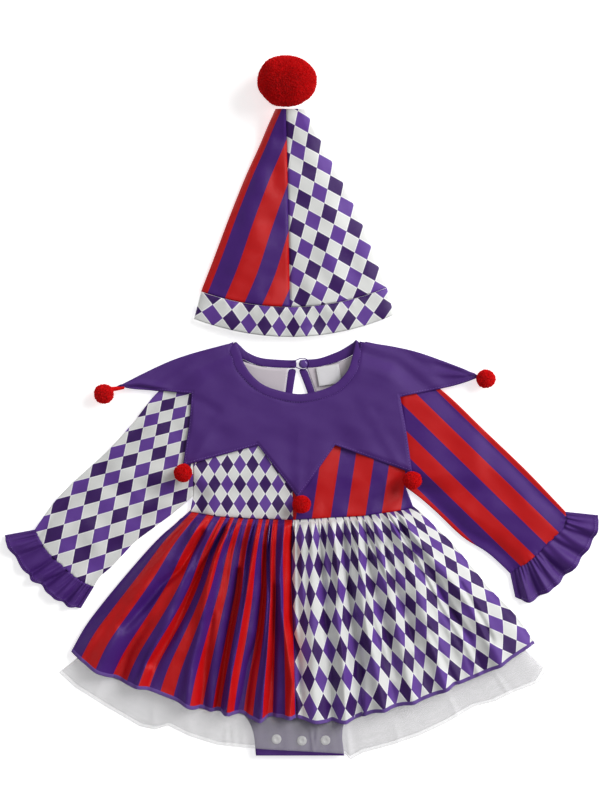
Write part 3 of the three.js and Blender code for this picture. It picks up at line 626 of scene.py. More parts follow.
@dataclass(frozen=True)
class Net:
    """Sheer white net of small six-sided meshes."""

    name: str = "white_net"
    mesh: float = 1.0
    cover: float = 0.25

    def make(self) -> bpy.types.Material:
        """Builds the material."""
        paint = Paint(self.name)
        across, along = paint.cut()
        turn = 2 * math.pi / self.mesh
        threads = (turn * across).sine() * (turn * 0.5 * across + turn * 0.87 * along).sine() * (
            turn * 0.5 * across - turn * 0.87 * along).sine()
        cloudy = paint.noise(14.0, 3.0)
        paint.set(Base_Color=rgb(220, 219, 221), Roughness=0.6, Sheen_Weight=0.2,
                  Alpha=self.cover + 0.1 * (cloudy - 0.5) + 0.14 * threads, Specular_IOR_Level=0.3)
        return paint.material


@dataclass(frozen=True)
class Pile:
    """Dense clipped pile, each tuft a little lighter or darker than the next."""

    name: str = "red_pile"
    colour: tuple = rgb(236, 8, 14)
    shade: tuple = rgb(196, 6, 12)

    def make(self) -> bpy.types.Material:
        """Builds the material."""
        paint = Paint(self.name)
        tufts, lumps = paint.noise(700.0, 2.0), paint.noise(90.0, 2.0)
        paint.set(Base_Color=paint.blend(tufts.ramp(0.35, 0.7) * 0.6 + lumps * 0.4, self.shade, self.colour),
                  Roughness=0.85, Sheen_Weight=0.04, Sheen_Roughness=0.5, Specular_IOR_Level=0.12)
        paint.relief(tufts, 0.25)
        return paint.material


@dataclass(frozen=True)
class Moulded:
    """Glossy moulded plastic with faint marks of handling."""

    name: str
    colour: tuple
    roughness: float = 0.25

    def make(self) -> bpy.types.Material:
        """Builds the material."""
        paint = Paint(self.name)
        marks = paint.noise(400.0, 4.0)
        tone = paint.blend(0.25 * marks, self.colour, tuple(0.8 * c for c in self.colour[:3]) + (1.0,))
        paint.set(Base_Color=tone, Roughness=self.roughness + 0.15 * marks, Coat_Weight=0.2)
        paint.relief(marks, 0.02)
        return paint.material


class Finishes:
    """Every finish of the costume, made once."""

    def __init__(self) -> None:
        """Builds the materials."""
        self.purple = PlainSatin("purple_satin", roughness=0.5, colour=PURPLE).make()
        self.purple_inside = PlainSatin("purple_inside", roughness=0.7, colour=rgb(104, 74, 140)).make()
        self.wrong_side = PlainSatin("wrong_side", roughness=0.75, sheen=0.1, colour=rgb(216, 207, 214)).make()
        self.thread = PlainSatin("purple_thread", roughness=0.6, colour=rgb(128, 96, 178), thread=0.3).make()
        self.overlock = PlainSatin("overlock", roughness=0.65, colour=rgb(108, 78, 156), thread=0.9).make()
        self.bodice = self.pair(Harlequin("bodice_diamonds", width=12.65, height=19.6, start=(-67.6, 11.5)),
                                Stripes("bodice_stripes", period=34.5, red=0.55, start=18.0))
        self.sleeve = self.pair(Harlequin("sleeve_diamonds", width=15.84, height=25.17),
                                Stripes("sleeve_stripes", period=33.5, red=0.52, start=8.0))
        self.skirt = self.pair(Stripes("skirt_stripes", period=30.3, red=0.5, start=-16.7),
                               Harlequin("skirt_diamonds", width=17.3, height=28.2, start=(0.0, -188.5)))
        self.hat = self.pair(Stripes("hat_stripes", period=34.3, red=0.54, start=22.0),
                             Harlequin("hat_diamonds", width=16.9, height=23.2, start=(7.8, 411.6)))
        self.band = Harlequin("band_diamonds", width=17.0, height=19.5, start=(0.0, -18.0)).make()
        self.net = Net().make()
        self.pile = Pile().make()
        self.snap = Moulded("white_plastic", rgb(240, 240, 238)).make()
        self.button = Moulded("purple_button", rgb(92, 60, 140), 0.2).make()
        self.label = PlainSatin("label_tape", roughness=0.6, colour=rgb(240, 238, 241), thread=0.4).make()

    @staticmethod
    def pair(left: Satin, right: Satin) -> dict[Side, bpy.types.Material]:
        """The materials of a left and a right half."""
        return {side: finish.make() for side, finish in zip(Side, (left, right))}


# ---- Building in cloth --------------------------------------------------------------------------


class Facing(Enum):
    """Which way the outer face of a piece of cloth looks."""

    UP = 1
    DOWN = -1
    OUT = 0


@dataclass
class Cloth:
    """One piece of cloth, shaped from a flat grid and given a wall."""

    name: str
    columns: int
    rows: int
    place: Plane  # (u, v) to points in the plan
    cut: Plane  # (u, v) to places on the flat cloth
    finish: bpy.types.Material
    lining: bpy.types.Material
    thick: float = 0.8
    facing: Facing = Facing.UP
    pattern: Plane | None = None  # where the print falls, if the cloth is drawn in on the way

    def build(self) -> bpy.types.Object:
        """Builds the piece; returns it riding on the root body."""
        bm = bmesh.new()
        bmesh.ops.create_grid(bm, x_segments=self.columns, y_segments=self.rows, size=0.5)
        bm.verts.ensure_lookup_table()
        uv = np.array([v.co[:2] for v in bm.verts]) + 0.5
        cut = (self.pattern or self.cut)(uv[:, 0], uv[:, 1]) * MM
        layer = bm.loops.layers.uv.new(CUT_MAP)
        for face in bm.faces:
            face.smooth = True
            for loop in face.loops:
                loop[layer].uv = cut[loop.vert.index]
        for vert, point in zip(bm.verts, (self.place(uv[:, 0], uv[:, 1]) + ORIGIN) * MM):
            vert.co = point
        if self.facing is Facing.OUT:
            bmesh.ops.remove_doubles(bm, verts=bm.verts, dist=2e-5)
            bm.normal_update()
            level = sum(v.co.z for v in bm.verts) / len(bm.verts)
            facing_out = (f.normal.z * (f.calc_center_median().z - level) * f.calc_area() for f in bm.faces)
            inverted = sum(facing_out) < 0
        else:
            bm.normal_update()
            inverted = sum(f.normal.z * f.calc_area() for f in bm.faces) * self.facing.value < 0
        if inverted:
            bmesh.ops.reverse_faces(bm, faces=bm.faces)
        piece = make_object(self.name, bm, [self.finish, self.lining])
        if self.thick:
            wall = piece.modifiers.new("wall", "SOLIDIFY")
            wall.thickness, wall.offset = self.thick * MM, -1.0
            wall.material_offset, wall.material_offset_rim = 1, 0
        return piece


def make_object(name: str, bm: bmesh.types.BMesh, materials: Sequence[bpy.types.Material]) -> bpy.types.Object:
    """Turns a bmesh in frame metres into an object on the root body.

    Args:
        name: The piece's name.
        bm: The shape, which is freed.
        materials: Its material slots.

    Returns:
        The object.
    """
    mesh = bpy.data.meshes.new(name)
    bm.to_mesh(mesh)
    bm.free()
    for material in materials:
        mesh.materials.append(material)
    piece = bpy.data.objects.new(name, mesh)
    bpy.context.scene.collection.objects.link(piece)
    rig.ride(piece, "root")
    LOG.info("%s: %d faces", name, len(mesh.polygons))
    return piece


def stand_for(made: bpy.types.Object, node: str, slot: str) -> None:
    """Says which node a piece stands for, and the record's slot that it takes its finish from."""
    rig.replaces(made, node)
    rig.slot(made, slot)


def laid(points: Array, height: Array) -> Array:
    """Points of the plan with their heights."""
    return np.column_stack([points, height])


def flat_grid(piece: Cloth, steps: int) -> Array:
    """A square grid of places on the flat cloth of a piece, in metres."""
    u, v = (g.ravel() for g in np.meshgrid(np.linspace(0, 1, steps), np.linspace(0, 1, steps)))
    return piece.cut(u, v).reshape(steps, steps, 2) * MM


def flat_area(piece: Cloth) -> float:
    """The flat area of a piece of cloth, in square metres."""
    cut = flat_grid(piece, 60)
    a, b = cut[1:, 1:] - cut[:-1, :-1], cut[1:, :-1] - cut[:-1, 1:]
    return float(np.abs(a[..., 0] * b[..., 1] - a[..., 1] * b[..., 0]).sum() / 2)


PRINT_SLOT = {Side.LEFT: "diamond_print", Side.RIGHT: "striped_print"}  # of bodice and sleeves
SKIRT_SLOT = {Side.LEFT: "striped_print", Side.RIGHT: "diamond_print"}

# Pieces sewn to a sheet of cloth, by the sheet's name.
SEWN_ON = {
    "skirt_front_left_cloth": ("skirt_hem_left",),
    "skirt_front_right_cloth": ("skirt_hem_right",),
    "collar_front_cloth": ("neck_binding_tape", "topstitching", "shoulder_left_stub"),
    "bodice_back_left_cloth": ("keyhole_binding_tape", "button_loop_cord"),
}
CUTS: list[dict] = []  # what each sheet of cloth was cut to, until all the pieces sewn to them are made


def declare(piece: Cloth, slot: str, rests: Sequence[str], held: str) -> None:
    """Builds a piece of cloth for the node it is named after, and notes the size it was cut to.

    Args:
        piece: The cloth.
        slot: The record's material slot.
        rests: What it lies on.
        held: How it is held.
    """
    made = piece.build()
    size = np.ptp(flat_grid(piece, 40), axis=(0, 1))
    stand_for(made, made.name.rsplit("_", 1)[0], slot)
    CUTS.append({"obj": made, "flat": (float(size[0]), float(size[1])), "held": held,
                 "rests_on": list(rests), "area": flat_area(piece)})


def declare_cuts() -> None:
    """Declares every sheet of cloth with the pieces sewn to it, once all of them are made."""
    for cut in CUTS:
        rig.sheet(**cut, with_pieces=list(SEWN_ON.get(cut["obj"].name, ())))


def crumple(x: Array, y: Array) -> Array:
    """Slight unevenness that all laid cloth has, in mm."""
    rng = np.random.default_rng(7)
    total = np.zeros(np.shape(x))
    for _ in range(18):
        turn, wave, phase = rng.uniform(0, math.pi), rng.uniform(16, 62), rng.uniform(0, 2 * math.pi)
        along = x * math.cos(turn) + y * math.sin(turn)
        total += 0.0042 * wave * np.sin(2 * math.pi * along / wave + phase)
    return total


@dataclass
class FlatTube:
    """A tube of cloth pressed flat, with a round roll along both folds."""

    across: Plane  # (c, v) to plan points; c runs from one fold to the other
    low: Height
    high: Height
    roll: float = 1.35

    def place(self, u: Array, v: Array) -> Array:
        """Points of the tube; the upper face comes first, from c = 0 to c = 1, then the lower one."""
        c = round_tube(u)
        plan = self.across(c, v)
        x, y = plan.T
        width = np.hypot(*(self.across(np.ones_like(v), v) - self.across(np.zeros_like(v), v)).T)
        edge = np.clip(np.minimum(c, 1 - c) * width / self.roll, 0, 1)
        low, high = self.low(x, y, c, v), self.high(x, y, c, v)
        middle = low + self.roll
        face = np.where(u <= 0.5, high, low)
        return laid(plan, middle + (face - middle) * np.sqrt(1 - (1 - edge) ** 2))


# ---- Bodice and sleeves -------------------------------------------------------------------------


@dataclass
class Bodice:
    """Front and back panels, left and right, sewn together at the centre and sides."""

    finishes: Finishes
    cloth: float = 1.2
    lean: dict = field(default_factory=lambda: {Side.LEFT: 0.0, Side.RIGHT: 0.15})  # of the print
    waist: tuple = ((-105, 3), (-74, -2), (-38, -4), (-2, -5), (34, -3), (69, -1), (105, 4), (119, 7))
    front_neck: dict = field(default_factory=lambda: {
        Side.LEFT: ((-2.2, 112), (-17, 114.8), (-35, 121.5), (-50.5, 134.5), (-61.5, 151.5), (-68.5, 165.5)),
        Side.RIGHT: ((-1.8, 112), (26, 115.2), (45.5, 123.3), (61.5, 141.5), (67.5, 155), (70.5, 168))})
    back_neck: dict = field(default_factory=lambda: {
        Side.LEFT: ((-7, 146.7), (-27, 147.5), (-40, 150), (-54, 154.5), (-65, 162), (-68.5, 165.5)),
        Side.RIGHT: ((12, 146.7), (31, 149.3), (44, 153), (58, 159), (67, 164), (70.5, 168))})
    keyhole: dict = field(default_factory=lambda: {
        Side.LEFT: ((-7, 146.7), (-10.2, 122), (-12, 108), (-9, 91), (-2.3, 79)),
        Side.RIGHT: ((12, 146.7), (21, 121.5), (21.8, 108), (17, 91), (-1.7, 79))})
    armhole: dict = field(default_factory=lambda: {
        Side.LEFT: ((-104.7, 3.4), (-101.7, 19.5), (-100.5, 86), (-100.2, 152.2), (-68.5, 165.5)),
        Side.RIGHT: ((118.5, 7.4), (111, 27), (107, 90), (103, 157.3), (70.5, 168))})

    def waist_line(self, side: Side, drop: float) -> Curve:
        """The waist seam of one half, from the centre out, moved up by drop."""
        x = np.linspace(-2, self.armhole[side][0][0], 13)
        level = np.interp(x, *np.array(self.waist).T)
        return Curve(np.column_stack([x, level + drop]))

    def panel(self, side: Side, front: bool) -> Cloth:
        """One panel: its outline and the height it lies at."""
        neck = (self.front_neck if front else self.back_neck)[side]
        inner = ((-2, -4.6), (-2, 112)) if front else ((-2, -4.6), (-2, 40), *self.keyhole[side][::-1])
        plan = patch(self.waist_line(side, 0.4), Curve(neck), Curve(inner, smooth=False),
                     Curve(self.armhole[side], smooth=False))

        def place(u: Array, v: Array) -> Array:
            """Points of the outer face."""
            points = plan(u, v)
            x, y = points.T
            if not front:
                return laid(points, DRESS.low(x, y))
            seams = 0.9 * bump(x + 2, 1.1) + 0.7 * bump(y - np.interp(x, *np.array(self.waist).T), 2.2)
            uneven = crumple(x, y) * ease(DRESS.depth(x, y) / 12)
            return laid(points, DRESS.high(x, y) + self.cloth + uneven - seams)

        def cut(u: Array, v: Array) -> Array:
            """Places on the flat cloth; the stripes lean a little."""
            points = plan(u, v)
            points[:, 0] -= self.lean[side] * (points[:, 1] - 6)
            return points

        steps = 60 if front else 40
        return Cloth(f"bodice_{'front' if front else 'back'}_{side.value}_cloth", steps, steps, place, cut,
                     self.finishes.bodice[side], self.finishes.wrong_side,
                     facing=Facing.UP if front else Facing.DOWN)

    def build(self) -> None:
        for side in Side:
            for front in (True, False):
                cloth = self.panel(side, front)
                below = ("bodice_back_" if front else "collar_back_") + side.value
                declare(cloth, PRINT_SLOT[side], [below], "laid")


@dataclass
class Sleeves:
    """Long sleeves, each one piece round the arm, with a gathered ruffle at the cuff."""

    finishes: Finishes
    cloth: float = 1.2
    gap: float = 0.3
    puff: float = 5.0
    ruffle_cut: tuple[float, float] = (230.0, 30.0)  # the flat strip of a ruffle
    outer: dict = field(default_factory=lambda: {
        Side.LEFT: ((-98.4, 153), *DRESS.left_shoulder[2:]),
        Side.RIGHT: ((101.2, 158.4), *DRESS.right_shoulder[2:])})
    inner: dict = field(default_factory=lambda: {
        Side.LEFT: ((-99.8, 20.6), (-119, 4), (-139, -11), (-159, -26), (-179, -47), (-192, -57),
                    (-201, -71.5)),
        Side.RIGHT: ((109.4, 28.6), (125, 17), (141, 3), (165, -20), (187, -32), (215, -58))})
    seam: dict = field(default_factory=lambda: {
        Side.LEFT: ((-260.3, -14.5), (-256, -25), (-245, -40), (-232, -52), (-220, -62.5), (-209, -69.5),
                    (-201.2, -72)),
        Side.RIGHT: ((270.4, 3.4), (272, -9), (261, -21), (246, -36), (236, -45), (225, -53), (215, -58.5))})
    hem: dict = field(default_factory=lambda: {
        Side.LEFT: ((-290, -20), (-284, -35), (-269, -57), (-257, -68), (-240, -82), (-225, -91), (-214, -93)),
        Side.RIGHT: ((303, 0), (300, -20), (288, -40), (270, -61), (252, -76), (234, -86), (220, -82))})
    # Creases of the ruffle: place across it, half width there, height at the hem.
    creases: dict = field(default_factory=lambda: {
        Side.LEFT: ((0.07, 0.02, 1.4), (0.14, 0.035, 2.6), (0.22, 0.02, -1.6), (0.3, 0.03, 1.2),
                    (0.37, 0.018, -1.8), (0.45, 0.04, 3.6), (0.53, 0.022, -3.0), (0.6, 0.03, 1.8),
                    (0.68, 0.03, 2.8), (0.75, 0.02, -1.6), (0.83, 0.04, 2.2), (0.91, 0.02, -1.2)),
        Side.RIGHT: ((0.06, 0.02, 1.2), (0.13, 0.035, 2.4), (0.2, 0.022, -1.6), (0.28, 0.03, 1.6),
                     (0.35, 0.02, -1.4), (0.42, 0.04, 3.2), (0.5, 0.022, -3.0), (0.57, 0.03, 2.2),
                     (0.66, 0.03, 2.9), (0.74, 0.02, -1.8), (0.84, 0.045, 2.6), (0.92, 0.02, -1.2))})

    def sleeve(self, side: Side) -> Cloth:
        """One sleeve as a tube pressed flat, from the armhole to the cuff seam."""
        outer, inner = Curve(self.outer[side]), Curve(self.inner[side])
        cuff = Curve(self.seam[side][::-1])
        back = np.array([0.4 if side is Side.LEFT else -0.4, 0.4])

        def across(c: Array, v: Array) -> Array:
            """Plan from the underarm seam to the outer fold."""
            return mix(mix(inner(v), outer(v), c[:, None]), cuff(c) + back, (v**5)[:, None])

        def high(x: Array, y: Array, c: Array, v: Array) -> Array:
            """Height of the upper face."""
            near_cuff = ease((v - 0.9) / 0.1) * off_folds(c, 0.1)
            pucker = 0.5 * np.sin(c * 96 + 3 * np.sin(9 * c)) * near_cuff
            sunk = 0.8 * ease((v - 0.975) / 0.025) + 1.5 * (1 - ease((v - 0.012) / 0.02))
            return DRESS.high(x, y) + self.cloth + crumple(x, y) * ease(DRESS.depth(x, y) / 12) + pucker - sunk

        tube = FlatTube(across, lambda x, y, c, v: DRESS.low(x, y), high)
        fold = np.array(self.outer[side][-1], float) - np.array(self.outer[side][0], float)
        fold /= np.hypot(*fold)

        def cut(u: Array, v: Array) -> Array:
            """Places on the cloth, opened flat about the outer fold, in the print's own directions."""
            points, edge = across(round_tube(u), v), outer(v)
            off = points - edge
            mirrored = 2 * (off @ fold)[:, None] * fold - off
            flat = edge + np.where((u <= 0.5)[:, None], off, mirrored)
            return self.print_place(side, flat)

        return Cloth(f"sleeve_{side.value}_cloth", 120, 66, tube.place, cut, self.finishes.sleeve[side],
                     self.finishes.wrong_side, facing=Facing.OUT)

    @staticmethod
    def print_place(side: Side, flat: Array) -> Array:
        """Turns opened-flat plan places, in mm, to the directions in which the print runs."""
        if side is Side.RIGHT:
            across = np.array([0.697, 0.717])  # square to the stripes
            return np.column_stack([flat @ across - 146, flat @ np.array([-0.717, 0.697])])
        # One diamond across the sleeve, one along it, and the middle of a dark one.
        short, long, middle = (np.array(place) for place in ((-12.9, 9.2), (-17.8, -17.8), (-169.9, 27.8)))
        wide, tall = np.hypot(*short), np.hypot(*long)
        steps = (flat - middle) @ np.linalg.inv(np.array([short, long])) * np.array([wide, tall])
        down = np.maximum(steps[:, 1], -300)
        # The knit is drawn in a little towards the shoulder, so the print is smaller there.
        narrow, shorter = 0.017, 0.038
        return np.column_stack([steps[:, 0] * wide / (wide + narrow * down),
                                tall / shorter * np.log(1 + shorter * down / tall)])

    def ruffle(self, side: Side) -> Cloth:
        """The ruffle: a short gathered tube pressed flat, its creases fanning from the seam."""
        edge, foot = Curve(self.seam[side]), Curve(self.hem[side])

        def top(c: Array) -> Array:
            """The gathered edge, tucked into the end of the sleeve."""
            return edge(c) - 0.05 * (foot(c) - edge(c))

        def across(c: Array, v: Array) -> Array:
            """Plan from the outer fold to the inner one; the hem scallops a little at each crease."""
            dip = sum(0.5 * height * bump(c - at, 1.4 * wide) for at, wide, height in self.creases[side])
            points = mix(top(c), foot(c), v[:, None])
            ray = foot(c) - top(c)
            dip = dip * v * v * off_folds(c, 0.06)
            return points + ray / np.hypot(*ray.T)[:, None] * dip[:, None]

        def low(x: Array, y: Array, c: Array, v: Array) -> Array:
            """Height of the lower face."""
            return 0.9 * (1 - off_folds(c, 0.1))

        def high(x: Array, y: Array, c: Array, v: Array) -> Array:
            """Height of the upper face."""
            side_fade = off_folds(c, 0.1)
            deep = sum(height * bump(c - at - 0.02 * (1 - v), wide * mix(0.7, 1.25, v))
                       for at, wide, height in self.creases[side])
            gathers = 0.8 * np.sin(c * 118 + 4 * np.sin(7 * c + 1)) * (1 - 0.8 * ease(v / 0.8))
            small = 0.35 * np.sin(c * 61 + 2) * v
            swell = mix(self.puff * 0.85, 3.0, v) * off_folds(c, 0.2)
            rolled = 0.5 * bump(v - 0.9, 0.03) + 0.35 * ease((v - 0.95) / 0.05)
            rise = swell + side_fade * (1.5 * mix(0.3, 1.0, ease(v / 0.7)) * deep + gathers + small)
            sunk = 1.0 * (1 - ease(v / 0.06))
            return low(x, y, c, v) + 2 * self.cloth + self.gap + np.maximum(0, rise - sunk) + rolled * side_fade

        tube = FlatTube(across, low, high)

        def cut(u: Array, v: Array) -> Array:
            """Places on the flat strip that the ruffle is cut from."""
            return np.column_stack([u - 0.5, v]) * self.ruffle_cut

        return Cloth(f"cuff_ruffle_{side.value}_cloth", 300, 34, tube.place, cut, self.finishes.purple,
                     self.finishes.purple_inside, facing=Facing.OUT)

    def build(self) -> list[Cloth]:
        """Builds and declares both sleeves and ruffles; returns the ruffles' forms."""
        ruffles = [self.ruffle(side) for side in Side]
        for side, ruffle in zip(Side, ruffles):
            declare(self.sleeve(side), PRINT_SLOT[side], [], "laid")
            declare(ruffle, "purple_satin", [], "gathered")
        return ruffles


# ---- Skirt --------------------------------------------------------------------------------------


@dataclass(frozen=True)
class Pleat:
    """A long fold that follows a path in the plan; its height is below nought for a valley."""

    path: tuple
    width: tuple[float, float]
    height: tuple[float, float]
    lean: float = 0.0  # above nought: steeper on the side of greater x

    def rise(self, x: Array, y: Array) -> Array:
        """Height of the pleat at each place."""
        path = np.array(self.path, float)
        along, off = np.zeros(np.shape(x)), np.full(np.shape(x), np.inf)
        for i, ((ax, ay), (bx, by)) in enumerate(zip(path[:-1], path[1:])):
            t = ((x - ax) * (bx - ax) + (y - ay) * (by - ay)) / ((bx - ax) ** 2 + (by - ay) ** 2)
            last, first = i == len(path) - 2, i == 0
            c = np.clip(t, -0.25 if first else 0, 1.25 if last else 1)
            dx, dy = x - mix(ax, bx, c), y - mix(ay, by, c)
            near = np.hypot(dx, dy)
            better = near < np.abs(off)
            off = np.where(better, near * np.sign(dx), off)
            along = np.where(better, (i + c) / (len(path) - 1), along)
        t = np.clip(along, 0, 1)
        fade = ease((along + 0.25) / 0.25) * (1 - ease((along - 1) / 0.25) * (self.path[-1][1] > -185))
        width = mix(self.width[0], self.width[1], t) * (1 - self.lean * np.sign(off) * 0.5)
        return mix(self.height[0], self.height[1], t) * bump(off, width) * fade


@dataclass
class Skirt:
    """The full gathered skirt: striped on one half, diamonds on the other."""

    finishes: Finishes
    bodice: Bodice
    cloth: float = 1.2
    gap: float = 0.3
    net: float = 1.0
    air: float = 0.5
    fullness: float = 300.0  # flat width of one half at the hem
    waist_fullness: float = 250.0  # and at the waist, where the side seam tapers in
    fold_scale: float = 2.6
    back_width: float = 200.0  # flat width of one back half
    length: float = 203.0
    hem: dict = field(default_factory=lambda: {
        Side.LEFT: ((1, -201), (-18, -201), (-37, -204), (-59, -198), (-94, -194), (-122, -183), (-151, -172),
                    (-180, -164), (-209, -148), (-223.5, -136)),
        Side.RIGHT: ((1.6, -201), (24, -206), (58, -204.5), (74, -198), (96, -192), (124, -185), (156, -172),
                     (198, -154), (225, -138), (239.5, -128.6))})
    # The side seams below the waist, as the dress's outline runs.
    side_edge: dict = field(default_factory=lambda: {
        Side.LEFT: (*DRESS.left_side[6:11], (-223.5, -136)), Side.RIGHT: (*DRESS.right_side[6:13],
                                                                          (239.5, -127.6))})
    # How the flat width (first) lies at the waist, at the middle and at the hem, as shares from the centre out.
    spread: dict = field(default_factory=lambda: {
        Side.LEFT: ((0, 0, 0, 0), (0.03, 0.05, 0.036, 0.022), (0.131, 0.17, 0.13, 0.129),
                    (0.232, 0.243, 0.18, 0.212), (0.333, 0.302, 0.28, 0.296), (0.434, 0.405, 0.345, 0.35),
                    (0.535, 0.5, 0.445, 0.437), (0.636, 0.584, 0.548, 0.581), (0.737, 0.662, 0.62, 0.677),
                    (0.838, 0.79, 0.74, 0.78), (0.939, 0.94, 0.91, 0.93), (1, 1, 1, 1)),
        Side.RIGHT: ((0, 0, 0, 0), (0.058, 0.06, 0.062, 0.06), (0.115, 0.125, 0.1, 0.124),
                     (0.173, 0.18, 0.17, 0.182), (0.231, 0.23, 0.24, 0.241), (0.288, 0.285, 0.282, 0.288),
                     (0.346, 0.35, 0.35, 0.37), (0.404, 0.41, 0.41, 0.416), (0.461, 0.46, 0.45, 0.473),
                     (0.519, 0.52, 0.53, 0.519), (0.577, 0.57, 0.575, 0.565), (0.8, 0.8, 0.79, 0.79),
                     (1, 1, 1, 1))})
    pleats: dict = field(default_factory=lambda: {
        Side.LEFT: (
            Pleat(((-96, -24), (-114, -54), (-133, -70), (-146, -86), (-165, -106)), (3.0, 5.5), (-2.4, -2.0),
                  0.3),
            Pleat(((-75.5, -22), (-91.5, -50.6), (-102.6, -73), (-113.8, -98.5), (-123.4, -117.6),
                   (-139, -141)),
                  (2.6, 5), (-3.4, -2.4), -0.3),
            Pleat(((-56.4, -8), (-70.7, -26.7), (-82, -42.6), (-88.3, -69.7), (-92, -92)), (4.5, 7), (3.4, 1.6),
                  0.3),
            Pleat(((-56, -60), (-58, -79), (-62.8, -104.8), (-67.5, -133.5), (-76, -196)), (2.8, 4.6),
                  (-3.4, -3.6), 0.3),
            Pleat(((-35.6, -6), (-43.6, -53.8), (-53.2, -101.6), (-62.8, -149.5), (-67.5, -196)), (4.2, 5.5),
                  (3.2, 3.6), 0.3),
            Pleat(((-29.3, -40), (-31, -70), (-36, -117.6), (-45, -149.5), (-52.6, -198)), (3.0, 4.6),
                  (-2.6, -3.6)),
            Pleat(((-10, -10), (-15, -62), (-13.3, -93.7), (-7, -133.5), (-2.5, -165), (-5, -200)), (3.2, 4.6),
                  (2.4, 3.4), 0.4),
            Pleat(((-3.7, -30), (-3.7, -102), (2, -140), (4, -170)), (2.6, 3.2), (-2.4, -1.6)),
            Pleat(((-19.2, -80), (-20.5, -117.6), (-22.5, -149.5), (-24.7, -198)), (2.8, 4.2), (-2.0, -3.4)),
            Pleat(((-23, -20), (-25, -62), (-28, -133.5), (-34.5, -196)), (3.2, 4.5), (1.6, 2.6)),
            Pleat(((-79, -50), (-90, -100), (-103, -150), (-108, -192)), (5, 8), (1.8, 2.8), -0.3),
            Pleat(((-84, -110), (-90, -150), (-93, -194)), (4, 5.5), (-1.8, -3.0)),
            Pleat(((-108, -60), (-130, -110), (-158, -170)), (5, 8), (1.8, 2.8)),
            Pleat(((-98, -8), (-104, -26), (-116, -44)), (3.5, 5), (2.0, 1.2)),
            Pleat(((-150, -110), (-166, -134), (-178, -164)), (5, 7), (-1.6, -2.8)),
            Pleat(((-116, -28), (-158, -84), (-198, -152)), (6, 10), (1.6, 2.8))),
        Side.RIGHT: (
            Pleat(((49.7, -14), (51.4, -39.8), (54.7, -73), (59.7, -106), (63, -131), (65, -150), (64, -204)),
                  (2.8, 4.2), (-3.2, -4.0), 0.5),
            Pleat(((26.5, -26), (28, -64.6), (30, -103), (35, -139), (37, -198)), (2.8, 4), (-1.8, -2.0)),
            Pleat(((68, -12), (74.6, -53), (81, -83), (91, -114), (98, -150)), (2.6, 4.5), (-2.2, -1.6), -0.3),
            Pleat(((90, -34), (92.8, -53), (97.8, -69.6), (111, -102.8), (117, -124)), (2.4, 4), (-2.0, -1.6),
                  -0.3),
            Pleat(((106, -10), (117.7, -36), (121, -56)), (2.4, 3.6), (-1.8, -1.0)),
            Pleat(((142, -66), (148.4, -79.6), (160.8, -101), (172, -118)), (2.4, 3.2), (-1.8, -1.4), 0.4),
            Pleat(((166, -70), (174, -83), (185.7, -102.8), (194, -120)), (2.6, 3.6), (-1.4, -1.6)),
            Pleat(((40, -10), (43, -45), (43, -89), (48, -150), (50, -200)), (4, 5.5), (2.2, 2.6), 0.4),
            Pleat(((62, -8), (66, -60), (73, -122.7), (88, -190)), (4.5, 7), (2.0, 2.6)),
            Pleat(((15, -8), (16, -60), (20, -202)), (5, 8), (1.6, 2.0)),
            Pleat(((82, -10), (96, -84), (118, -186)), (4.5, 7), (1.6, 2.0)),
            Pleat(((96, -8), (122, -70), (152, -176)), (6, 9), (1.8, 2.2)),
            Pleat(((118, -20), (150, -58), (178, -90), (204, -146)), (5, 8), (1.4, 2.0)),
            Pleat(((136, -120), (150, -150), (160, -172)), (4, 5), (-1.2, -2.0))),
    })

    def plan(self, side: Side) -> Plane:
        """Where each flat place of one half lies; u is the share of the flat width."""
        top_edge = self.bodice.waist_line(side, 1.8)
        start, end = (tuple(top_edge(at)[0]) for at in (0.0, 1.0))
        sheet = patch(top_edge, Curve(self.hem[side]).by_share(),
                      Curve((start, (-3, -60), (0, -140), self.hem[side][0])).by_length(),
                      Curve((end, *self.side_edge[side])).by_length())
        flat, *laid_out = np.array(self.spread[side]).T

        def at(u: Array, v: Array) -> Array:
            """Plan points."""
            top, middle, foot = (np.interp(u, flat, shares) for shares in laid_out)
            s = np.where(v < 0.42, mix(top, middle, ease(v / 0.42)), mix(middle, foot, ease((v - 0.42) / 0.58)))
            return sheet(s, v)

        return at

    def base(self, x: Array, y: Array) -> Array:
        """Lower face of the back of the skirt."""
        gather = 0.5 * (1 + np.sin(x / 9)) * ease((30 - np.abs(y + 24)) / 26)
        return gather + DRESS.roll * (1 - ease(DRESS.depth(x, y) / 9))

    def net_top(self, x: Array) -> Array:
        """Lower face of the front of the petticoat."""
        back = self.cloth + 1.0 + self.gap + self.net + self.air
        return mix(back + 2 * (self.cloth + self.air), back, ease((np.abs(x - 5) - 118) / 80))

    def gathering(self, side: Side, u: Array, v: Array) -> Array:
        """Fine pleats that run down from the waist seam and die away, and slow waves at the hem."""
        phase = 1.3 if side is Side.LEFT else 0.2
        warped = u + 0.016 * np.sin(2 * np.pi * 5 * u + phase) + 0.02 * v * np.sin(2 * np.pi * 4 * u)
        swell = 0.75 + 0.45 * np.sin(2 * np.pi * 4.3 * u + 2 * phase)
        total = np.zeros(np.shape(u))
        for count, size, reach, shift in ((34, 1.2, 0.1, 0.0), (23, 1.8, 0.22, 1.9), (14, 1.5, 0.6, 0.7)):
            wave = np.sin(2 * np.pi * count * warped + shift + phase)
            total += size * swell * wave * np.exp(-((v / reach) ** 1.3))
        waves = 0.55 * np.sin(2 * np.pi * 9.4 * warped + phase) * ease(v / 0.5)
        return total + waves + 0.3 * np.sin(2 * np.pi * 17 * warped) * v

    def front(self, side: Side) -> Cloth:
        """The front of one half, over the petticoat."""
        plan = self.plan(side)
        # Pleats near the middle reach over to the other half.
        pleats = [p for half in Side for p in self.pleats[half] if half is side or abs(p.path[0][0]) < 40]

